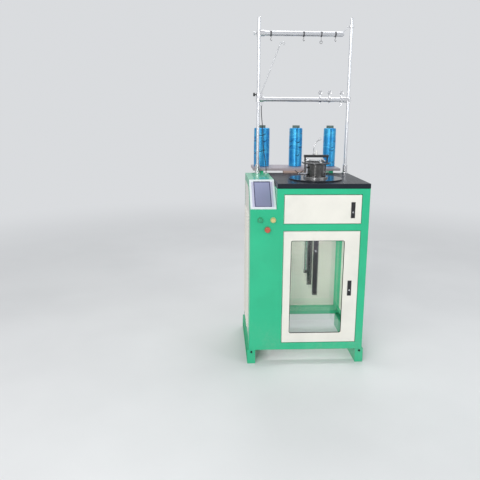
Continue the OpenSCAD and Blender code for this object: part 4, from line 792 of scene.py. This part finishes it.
class CableSettings(bpy.types.PropertyGroup):
    """Signal cable from the yarn stand to the console."""

    sides: count_setting("Sides", "Sides of the cable's section", 8, 32, 16)
    diameter: length_setting("Diameter", "Outer diameter of the cable", 0.003, 0.008, 0.005)


class CabinetSettings(bpy.types.PropertyGroup):
    """Paint of the cabinet and its fittings."""

    green: colour_setting("Green", "Green coat of the frame and front", (0.022, 0.52, 0.265))
    cream: colour_setting("Cream", "Cream coat of doors and panels", (0.88, 0.86, 0.785))
    table: colour_setting("Table", "Dark coat of the table top", (0.026, 0.031, 0.041))
    dust: FloatProperty(
        name="Dust", description="How much dust lies on the paint", subtype="FACTOR", min=0.0, max=1.0,
        default=0.35,
    )


class YarnSettings(bpy.types.PropertyGroup):
    """Wound yarn packages."""

    colour: colour_setting("Yarn", "Colour of the yarn", (0.016, 0.32, 0.74))
    # Painted highlight colour of the yarn.
    painted_highlight: colour_setting("Lit yarn", "Colour of the lightest threads", (0.13, 0.70, 0.94))
    # Painted shade colour of the yarn.
    shade: colour_setting("Shaded yarn", "Colour deep between the threads", (0.005, 0.11, 0.34))
    ridge_pitch: length_setting("Ridge pitch", "Height between wound ridges", 0.002, 0.02, 0.0052)
    ridge_depth: length_setting("Ridge depth", "Depth of the wound ridges", 0.0, 0.001, 0.00028)
    crease_count: count_setting("Creases", "Crescent creases on a package", 0, 40, 16)
    crease_width: length_setting("Crease width", "Half the height of a crease", 0.0005, 0.006, 0.0032)
    crease_depth: length_setting("Crease depth", "Depth of a crease", 0.0, 0.004, 0.0022)
    loose_count: count_setting("Loose turns", "Single turns that lie on a package", 0, 12, 4)
    package_rows: count_setting("Rows", "Grid rows up a package", 40, 400, 330)
    package_columns: count_setting("Columns", "Grid columns round a package", 24, 240, 176)


class FastenerSettings(bpy.types.PropertyGroup):
    """Socket screws of the knitting head and the skids."""

    head_radius: length_setting(
        "Head radius", "Radius of the head of a flange screw", 0.002, 0.01, 0.0046
    )
    flange_count: count_setting("Flange screws", "Screws round the bearing flange", 3, 12, 6)
    skid_head_radius: length_setting(
        "Skid head radius", "Radius of the head of a skid's screw", 0.002, 0.01, 0.006
    )
    skid_inset: length_setting(
        "Skid screw inset", "From a skid's outer side to its screws", 0.01, 0.04, 0.0245
    )
    skid_drop: length_setting("Skid screw drop", "From a skid's top to its screws", 0.006, 0.06, 0.012)


# Operators


class KNIT_OT_build_studio(bpy.types.Operator):
    """Sets the floor, the lights, the sky and the camera"""

    bl_idname = "knit.build_studio"
    bl_label = "Build Studio"

    def execute(self, context):
        s = context.scene.knit_studio
        scene = context.scene
        scene.view_settings.view_transform = "Standard"
        self.lay_floor(opaque(s.backdrop))
        middle = (0.0, 0.0, 1.0)
        low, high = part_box("window_pane")
        over_window = ((low.x + high.x) / 2, high.y + 0.06, high.z + 0.05)
        rear_foot = (over_window[0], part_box("rear_panel")[0].y, low.z)
        for name, place, aim, size, power, colour in (
            ("key", (-2.6, -3.1, 3.3), middle, (2.4, 2.4), s.key_power, (1.0, 0.98, 0.95)),
            ("strip", (-1.2, -3.6, 1.9), middle, (0.34, 1.9), s.strip_power, (1.0, 1.0, 1.0)),
            ("fill", (3.2, -2.6, 2.3), middle, (2.2, 2.2), s.fill_power, (0.93, 0.97, 1.0)),
            ("top", (0.3, 1.9, 3.9), middle, (2.0, 2.0), s.top_power, (1.0, 1.0, 1.0)),
            ("inner", over_window, rear_foot, (0.3, 0.05), s.inner_power, (1.0, 0.91, 0.96)),
        ):
            self.hang_light(name, place, aim, size, power, colour)
        self.light_sky(scene, s.world_strength, opaque(s.backdrop))
        self.set_camera(scene)
        return {"FINISHED"}

    def lay_floor(self, backdrop):
        """Pale floor that keeps the shadow near the machine and fades to the backdrop further out."""
        made, w, shader = material("studio floor", backdrop)
        point = w.object_point()
        tone = w.between(w.noise(point, 1.2, 3.0), 0.3, 0.7)
        pale = w.mix(tone, (0.76, 0.77, 0.78, 1.0), (0.80, 0.81, 0.82, 1.0))
        w.feed(shader, {"Base Color": pale, "Roughness": 0.75})
        glow = w.node("ShaderNodeEmission", {"Color": backdrop, "Strength": 1.0})
        seen = w.node("ShaderNodeLightPath").outputs["Is Camera Ray"]
        share = w.times(w.between(w.vector("LENGTH", point)["Value"], 1.6, 6.0), seen)
        both = w.node("ShaderNodeMixShader", {0: share, 1: shader.outputs[0], 2: glow.outputs[0]})
        w.feed(w.tree.get_output_node("ALL"), {"Surface": both.outputs[0]})
        reach, lines = 14, 15
        u, v = np.meshgrid(np.linspace(-reach, reach, lines), np.linspace(-reach, reach, lines))
        points = np.stack([u.ravel(), v.ravel(), np.zeros(u.size)], -1)
        mesh = bpy.data.meshes.new("studio_floor")
        mesh.from_pydata(points.tolist(), [], grid_faces(lines, lines, close_columns=False).tolist())
        mesh.materials.append(made)
        floor = bpy.data.objects.new("studio_floor", mesh)
        bpy.context.scene.collection.objects.link(floor)

    def hang_light(self, name, place, aim, size, power, colour):
        """Rectangular lamp of the given width and height, turned to the point it is aimed at."""
        lamp = bpy.data.lights.new(name, "AREA")
        lamp.shape = "RECTANGLE"
        (lamp.size, lamp.size_y), lamp.energy, lamp.color = size, power, colour
        holder = bpy.data.objects.new(name, lamp)
        holder.location = place
        holder.rotation_euler = (Vector(aim) - Vector(place)).to_track_quat("-Z", "Y").to_euler()
        bpy.context.scene.collection.objects.link(holder)

    def light_sky(self, scene, strength, backdrop):
        """Even light from all round, with the backdrop's colour where it is seen directly or mirrored."""
        world = bpy.data.worlds.new("studio sky")
        world.use_nodes = True
        world.node_tree.nodes.clear()
        w = Wiring(world.node_tree)
        ray = w.node("ShaderNodeLightPath").outputs
        seen = w.math("MAXIMUM", ray["Is Camera Ray"], ray["Is Glossy Ray"])
        seen = w.math("MAXIMUM", seen, ray["Is Transmission Ray"])
        light = w.node("ShaderNodeBackground", {"Color": (0.96, 0.98, 1.0, 1.0), "Strength": strength})
        pale = w.node("ShaderNodeBackground", {"Color": backdrop, "Strength": 1.0})
        both = w.node("ShaderNodeMixShader", {0: seen, 1: light.outputs[0], 2: pale.outputs[0]})
        w.node("ShaderNodeOutputWorld", {"Surface": both.outputs[0]})
        scene.world = world

    def set_camera(self, scene):
        """Camera at its place, with its heading to the right of +Y, its dip below level and its roll, in
        radians."""
        place = (-0.5355, -3.0659, 1.5048)
        heading, dip, roll = 0.0463, 0.1972, 0.0061
        right = Vector((math.cos(heading), -math.sin(heading), 0.0))
        ahead = Vector(
            (math.sin(heading) * math.cos(dip), math.cos(heading) * math.cos(dip), -math.sin(dip))
        )
        up = right.cross(ahead)
        across = right * math.cos(roll) + up * math.sin(roll)
        over = up * math.cos(roll) - right * math.sin(roll)
        lens = bpy.data.cameras.new("view")
        lens.sensor_width, lens.lens = 36.0, 36.915
        lens.shift_x, lens.shift_y = -0.001, -0.0562
        lens.clip_start, lens.clip_end = 0.05, 100.0
        camera = bpy.data.objects.new("view", lens)
        turn = Matrix((across, over, -ahead)).transposed().to_4x4()
        camera.matrix_world = Matrix.Translation(place) @ turn
        scene.collection.objects.link(camera)
        scene.camera = camera


class KNIT_OT_lay_cable(bpy.types.Operator):
    """Lays the signal cable from the left clamp down to the console"""

    bl_idname = "knit.lay_cable"
    bl_label = "Lay Signal Cable"

    def execute(self, context):
        s = context.scene.knit_cable
        route = cable_route(steps=176)
        jacket = black_rubber("cable jacket", (0.014, 0.014, 0.016))
        cable = piece("signal_lead", *swept_tube(route, s.diameter / 2, s.sides), jacket, "machine")
        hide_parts("signal_cable")
        return {"FINISHED"}


class KNIT_OT_paint_cabinet(bpy.types.Operator):
    """Coats the cabinet, its doors, panels, table and skids, and finishes the window and the hinge pins"""

    bl_idname = "knit.paint_cabinet"
    bl_label = "Paint Cabinet"

    def execute(self, context):
        s = context.scene.knit_cabinet
        coat_nodes(
            sprayed_steel(
                "green coat", s.green, 0.42, dust=s.dust, coat=0.6, gloss=0.25, edge=0.004, rubbing=0.25
            ),
            "skids", "front_fascia", "base_frame",
        )
        coat_nodes(
            sprayed_steel("cream coat", s.cream, 0.42, worn=(0.45, 0.44, 0.40), dust=s.dust * 0.7),
            "left_panel", "right_panel", "rear_panel", "upper_door", "lower_door",
        )
        coat_nodes(
            sprayed_steel(
                "table coat", s.table, 0.24, worn=(0.16, 0.17, 0.18), dust=s.dust * 0.1, coat=0.0,
                gloss=0.03, edge=0.007, rubbing=0.4,
            ),
            "table_top",
        )
        coat_nodes(clear_sheet("window sheet", (0.93, 0.97, 0.97), (0.004, 0.004, 0.005)), "window_pane")
        coat_nodes(bare_steel("pin steel", (0.62, 0.62, 0.63), 0.3), "hinge_pins")
        return {"FINISHED"}


class KNIT_OT_finish_controls(bpy.types.Operator):
    """Finishes the console's screen, its bezel, the buttons and the door latches"""

    bl_idname = "knit.finish_controls"
    bl_label = "Finish Controls"

    def execute(self, context):
        coat_nodes(framed_plastic("bezel plastic", (0.80, 0.86, 0.90), (0.56, 0.56, 0.74)), "screen_bezel")
        coat_nodes(display_glass("display", (0.25, 0.27, 0.43)), "screen")
        rings = ((0.03, 0.40, 0.20), (0.60, 0.68, 0.30), (0.42, 0.11, 0.06))
        coat_nodes(lamp_collars("lens rings", rings), "button_collars")
        coat_nodes(moulded_plastic("green cap", (0.02, 0.40, 0.19), 0.3, 0.3), "start_button")
        coat_nodes(moulded_plastic("yellow cap", (0.72, 0.58, 0.24), 0.3, 0.3), "jog_button")
        coat_nodes(moulded_plastic("red cap", (0.56, 0.11, 0.06), 0.32, 0.3), "stop_button")
        black = moulded_plastic("latch plastic", (0.018, 0.018, 0.022), 0.42)
        bright = bare_steel("latch button metal", (0.8, 0.8, 0.82), 0.22, soil=0.1)
        for door in ("upper", "lower"):
            coat_nodes(black, f"{door}_latch_body", f"{door}_latch_lever")
            coat_nodes(bright, f"{door}_latch_button")
        return {"FINISHED"}


class KNIT_OT_finish_head(bpy.types.Operator):
    """Finishes the knitting head and the stop lever beside it"""

    bl_idname = "knit.finish_head"
    bl_label = "Finish Knitting Head"

    def execute(self, context):
        axis = upright_axis("cam_drum")
        plate = tuple(c * 0.7 for c in context.scene.knit_cabinet.table)
        coat_nodes(
            sprayed_steel("plate coat", plate, 0.1, worn=(0.2, 0.2, 0.21), dust=0.03, coat=0.0, gloss=0.2),
            "head_plate",
        )
        coat_nodes(
            sprayed_steel(
                "blackened bridge", (0.016, 0.016, 0.018), 0.42, worn=(0.2, 0.2, 0.2), dust=0.1, coat=0.1
            ),
            "guide_bridge", "stop_lever",
        )
        coat_nodes(turned_steel("flange steel", (0.40, 0.40, 0.40), 0.3, axis), "bearing_flange")
        coat_nodes(turned_steel("drum steel", (0.16, 0.158, 0.155), 0.25, axis, 0.6), "cam_drum")
        ring = turned_steel("ring steel", (0.22, 0.22, 0.225), 0.26, axis, 0.6)
        coat_nodes(ring, "feeder_ring", "spindle")
        coat_nodes(bare_steel("cylinder steel", (0.12, 0.12, 0.12), 0.3), "needle_cylinder")
        coat_nodes(bare_steel("needle steel", (0.34, 0.34, 0.35), 0.22, soil=0.4), "needles")
        coat_nodes(bare_steel("feeder steel", (0.92, 0.92, 0.92), 0.24, soil=0.1), "yarn_feeders")
        coat_nodes(bare_steel("arm steel", (0.55, 0.55, 0.56), 0.24, soil=0.3), "guide_arm")
        coat_nodes(bare_steel("bracket steel", (0.80, 0.81, 0.86), 0.3, soil=0.2), "drum_bracket")
        coat_nodes(moulded_plastic("white ceramic", (0.82, 0.82, 0.79), 0.2, 0.5), "guide_cone")
        return {"FINISHED"}


class KNIT_OT_finish_drive(bpy.types.Operator):
    """Finishes the drive and the take-down inside the cabinet"""

    bl_idname = "knit.finish_drive"
    bl_label = "Finish Drive"

    def execute(self, context):
        iron = turned_steel("pulley iron", (0.30, 0.30, 0.31), 0.42, upright_axis("main_pulley"))
        coat_nodes(iron, "main_pulley", "motor_pulley")
        coat_nodes(sprayed_steel("motor coat", (0.055, 0.115, 0.2), 0.42, dust=0.4), "motor")
        coat_nodes(
            sprayed_steel(
                "blackened steel", (0.013, 0.013, 0.016), 0.4, worn=(0.18, 0.18, 0.18), dust=0.2, coat=0.15
            ),
            "motor_plate", "takedown_frame",
        )
        coat_nodes(black_rubber("belt rubber", (0.02, 0.02, 0.021)), "drive_belt")
        coat_nodes(bare_steel("rod steel", (0.72, 0.72, 0.74), 0.22, soil=0.2), "takedown_rod")
        roller = bare_steel("roller steel", (0.55, 0.55, 0.56), 0.36, stretch=(6.0, 1.0, 6.0))
        coat_nodes(roller, "roller_left", "roller_right")
        return {"FINISHED"}


class KNIT_OT_finish_stand(bpy.types.Operator):
    """Finishes the yarn stand, its clamps and guides, and the creel board"""

    bl_idname = "knit.finish_stand"
    bl_label = "Finish Yarn Stand"

    def execute(self, context):
        for name, stretch, nodes in (
            ("pole chrome", (8.0, 8.0, 0.5), ["poles"]),
            ("bar chrome", (0.5, 8.0, 8.0), ["mid_bar", "top_bar"]),
        ):
            chrome = bare_steel(name, (0.76, 0.77, 0.80), 0.36, stretch, 40.0, soil=0.2, relief=0.02)
            coat_nodes(chrome, *nodes)
        coat_nodes(bare_steel("clamp steel", (0.80, 0.80, 0.82), 0.3, soil=0.35), "pole_fittings")
        coat_nodes(knob_finish("knob finish", (0.012, 0.012, 0.014), (0.78, 0.78, 0.80)), "star_knobs")
        coat_nodes(bare_steel("tensioner steel", (0.80, 0.80, 0.82), 0.2, soil=0.2), "tension_devices")
        coat_nodes(bare_steel("hook steel", (0.22, 0.22, 0.23), 0.28, soil=0.4), "thread_guides")
        rod = bare_steel("guide rod steel", (0.60, 0.61, 0.63), 0.45, soil=0.3, relief=0.02)
        coat_nodes(rod, "guide_rods")
        coat_nodes(laminate("creel laminate", (0.42, 0.37, 0.40)), "creel_board")
        coat_nodes(sawn_wood("block wood", (0.60, 0.44, 0.38)), "board_block")
        coat_nodes(pressed_paper("tube paper", (0.16, 0.22, 0.19)), "yarn_tubes")
        return {"FINISHED"}


class KNIT_OT_wind_yarn(bpy.types.Operator):
    """Winds the three yarn packages"""

    bl_idname = "knit.wind_yarn"
    bl_label = "Wind Yarn"

    def execute(self, context):
        s = context.scene.knit_yarn
        made = wound_thread("blue filament", s.colour, s.painted_highlight, s.shade)
        first_seed = 3
        for seed, side in enumerate(("left", "middle", "right"), first_seed):
            wind_package(f"package_{side}", f"yarn_{side}", s, made, seed)
        return {"FINISHED"}


class KNIT_OT_fit_screws(bpy.types.Operator):
    """Fits the socket screws round the bearing flange and at the ends of the skids"""

    bl_idname = "knit.fit_screws"
    bl_label = "Fit Screws"

    def execute(self, context):
        s = context.scene.knit_fasteners
        steel = bare_steel("screw steel", (0.03, 0.03, 0.034), 0.34, soil=0.3)
        for name, radius, places in (
            ("flange_screws", s.head_radius, self.on_flange(s)),
            ("skid_screws", s.skid_head_radius, self.on_skids(s)),
        ):
            head, sides, socket_rows = socket_head(radius), 24, (5, 6)
            shapes = [turned_shape(head, sides, socket_rows, at, along) for at, along in places]
            screws = piece(name, *joined(shapes), steel, "machine", smooth=False)
        return {"FINISHED"}

    def on_flange(self, s):
        """Places and directions of the flange's screws, on a circle round the cam drum."""
        x, y, _ = upright_axis("bearing_flange")
        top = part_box("bearing_flange")[1].z
        low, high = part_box("cam_drum")
        room, first = 1.9, 0.35
        circle = (high.x - low.x) / 2 + room * s.head_radius
        return [
            ((x + circle * np.cos(a), y + circle * np.sin(a), top), (0, 0, 1))
            for a in full_turn(s.flange_count) + first
        ]

    def on_skids(self, s):
        """Places and directions of the screws at the front and rear end of each skid."""
        low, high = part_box("skids")
        return [
            ((x, y, high.z - s.skid_drop), (0, way, 0))
            for x in (low.x + s.skid_inset, high.x - s.skid_inset)
            for y, way in ((low.y, -1), (high.y, 1))
        ]


class KNIT_PT_finish(bpy.types.Panel):
    """Lists the settings and the steps"""

    bl_label = "Knitting Machine"
    bl_idname = "KNIT_PT_finish"
    bl_space_type = "VIEW_3D"
    bl_region_type = "UI"
    bl_category = "Knitting"

    def draw(self, context):
        for group in setting_groups:
            settings = getattr(context.scene, group)
            box = self.layout.box()
            for key in type(settings).__annotations__:
                box.prop(settings, key)
        for step in steps:
            self.layout.operator(step.bl_idname)


setting_groups = {
    "knit_studio": StudioSettings,
    "knit_cable": CableSettings,
    "knit_cabinet": CabinetSettings,
    "knit_yarn": YarnSettings,
    "knit_fasteners": FastenerSettings,
}
steps = (
    KNIT_OT_build_studio,
    KNIT_OT_lay_cable,
    KNIT_OT_paint_cabinet,
    KNIT_OT_finish_controls,
    KNIT_OT_finish_head,
    KNIT_OT_finish_drive,
    KNIT_OT_finish_stand,
    KNIT_OT_wind_yarn,
    KNIT_OT_fit_screws,
)


def register():
    for kind in (*setting_groups.values(), *steps, KNIT_PT_finish):
        bpy.utils.register_class(kind)
    for group, kind in setting_groups.items():
        setattr(bpy.types.Scene, group, PointerProperty(type=kind))


def unregister():
    for group in setting_groups:
        delattr(bpy.types.Scene, group)
    for kind in reversed((*setting_groups.values(), *steps, KNIT_PT_finish)):
        bpy.utils.unregister_class(kind)


def main():
    register()
    for step in steps:
        family, action = step.bl_idname.split(".")
        getattr(getattr(bpy.ops, family), action)()


if __name__ == "__main__":
    main()
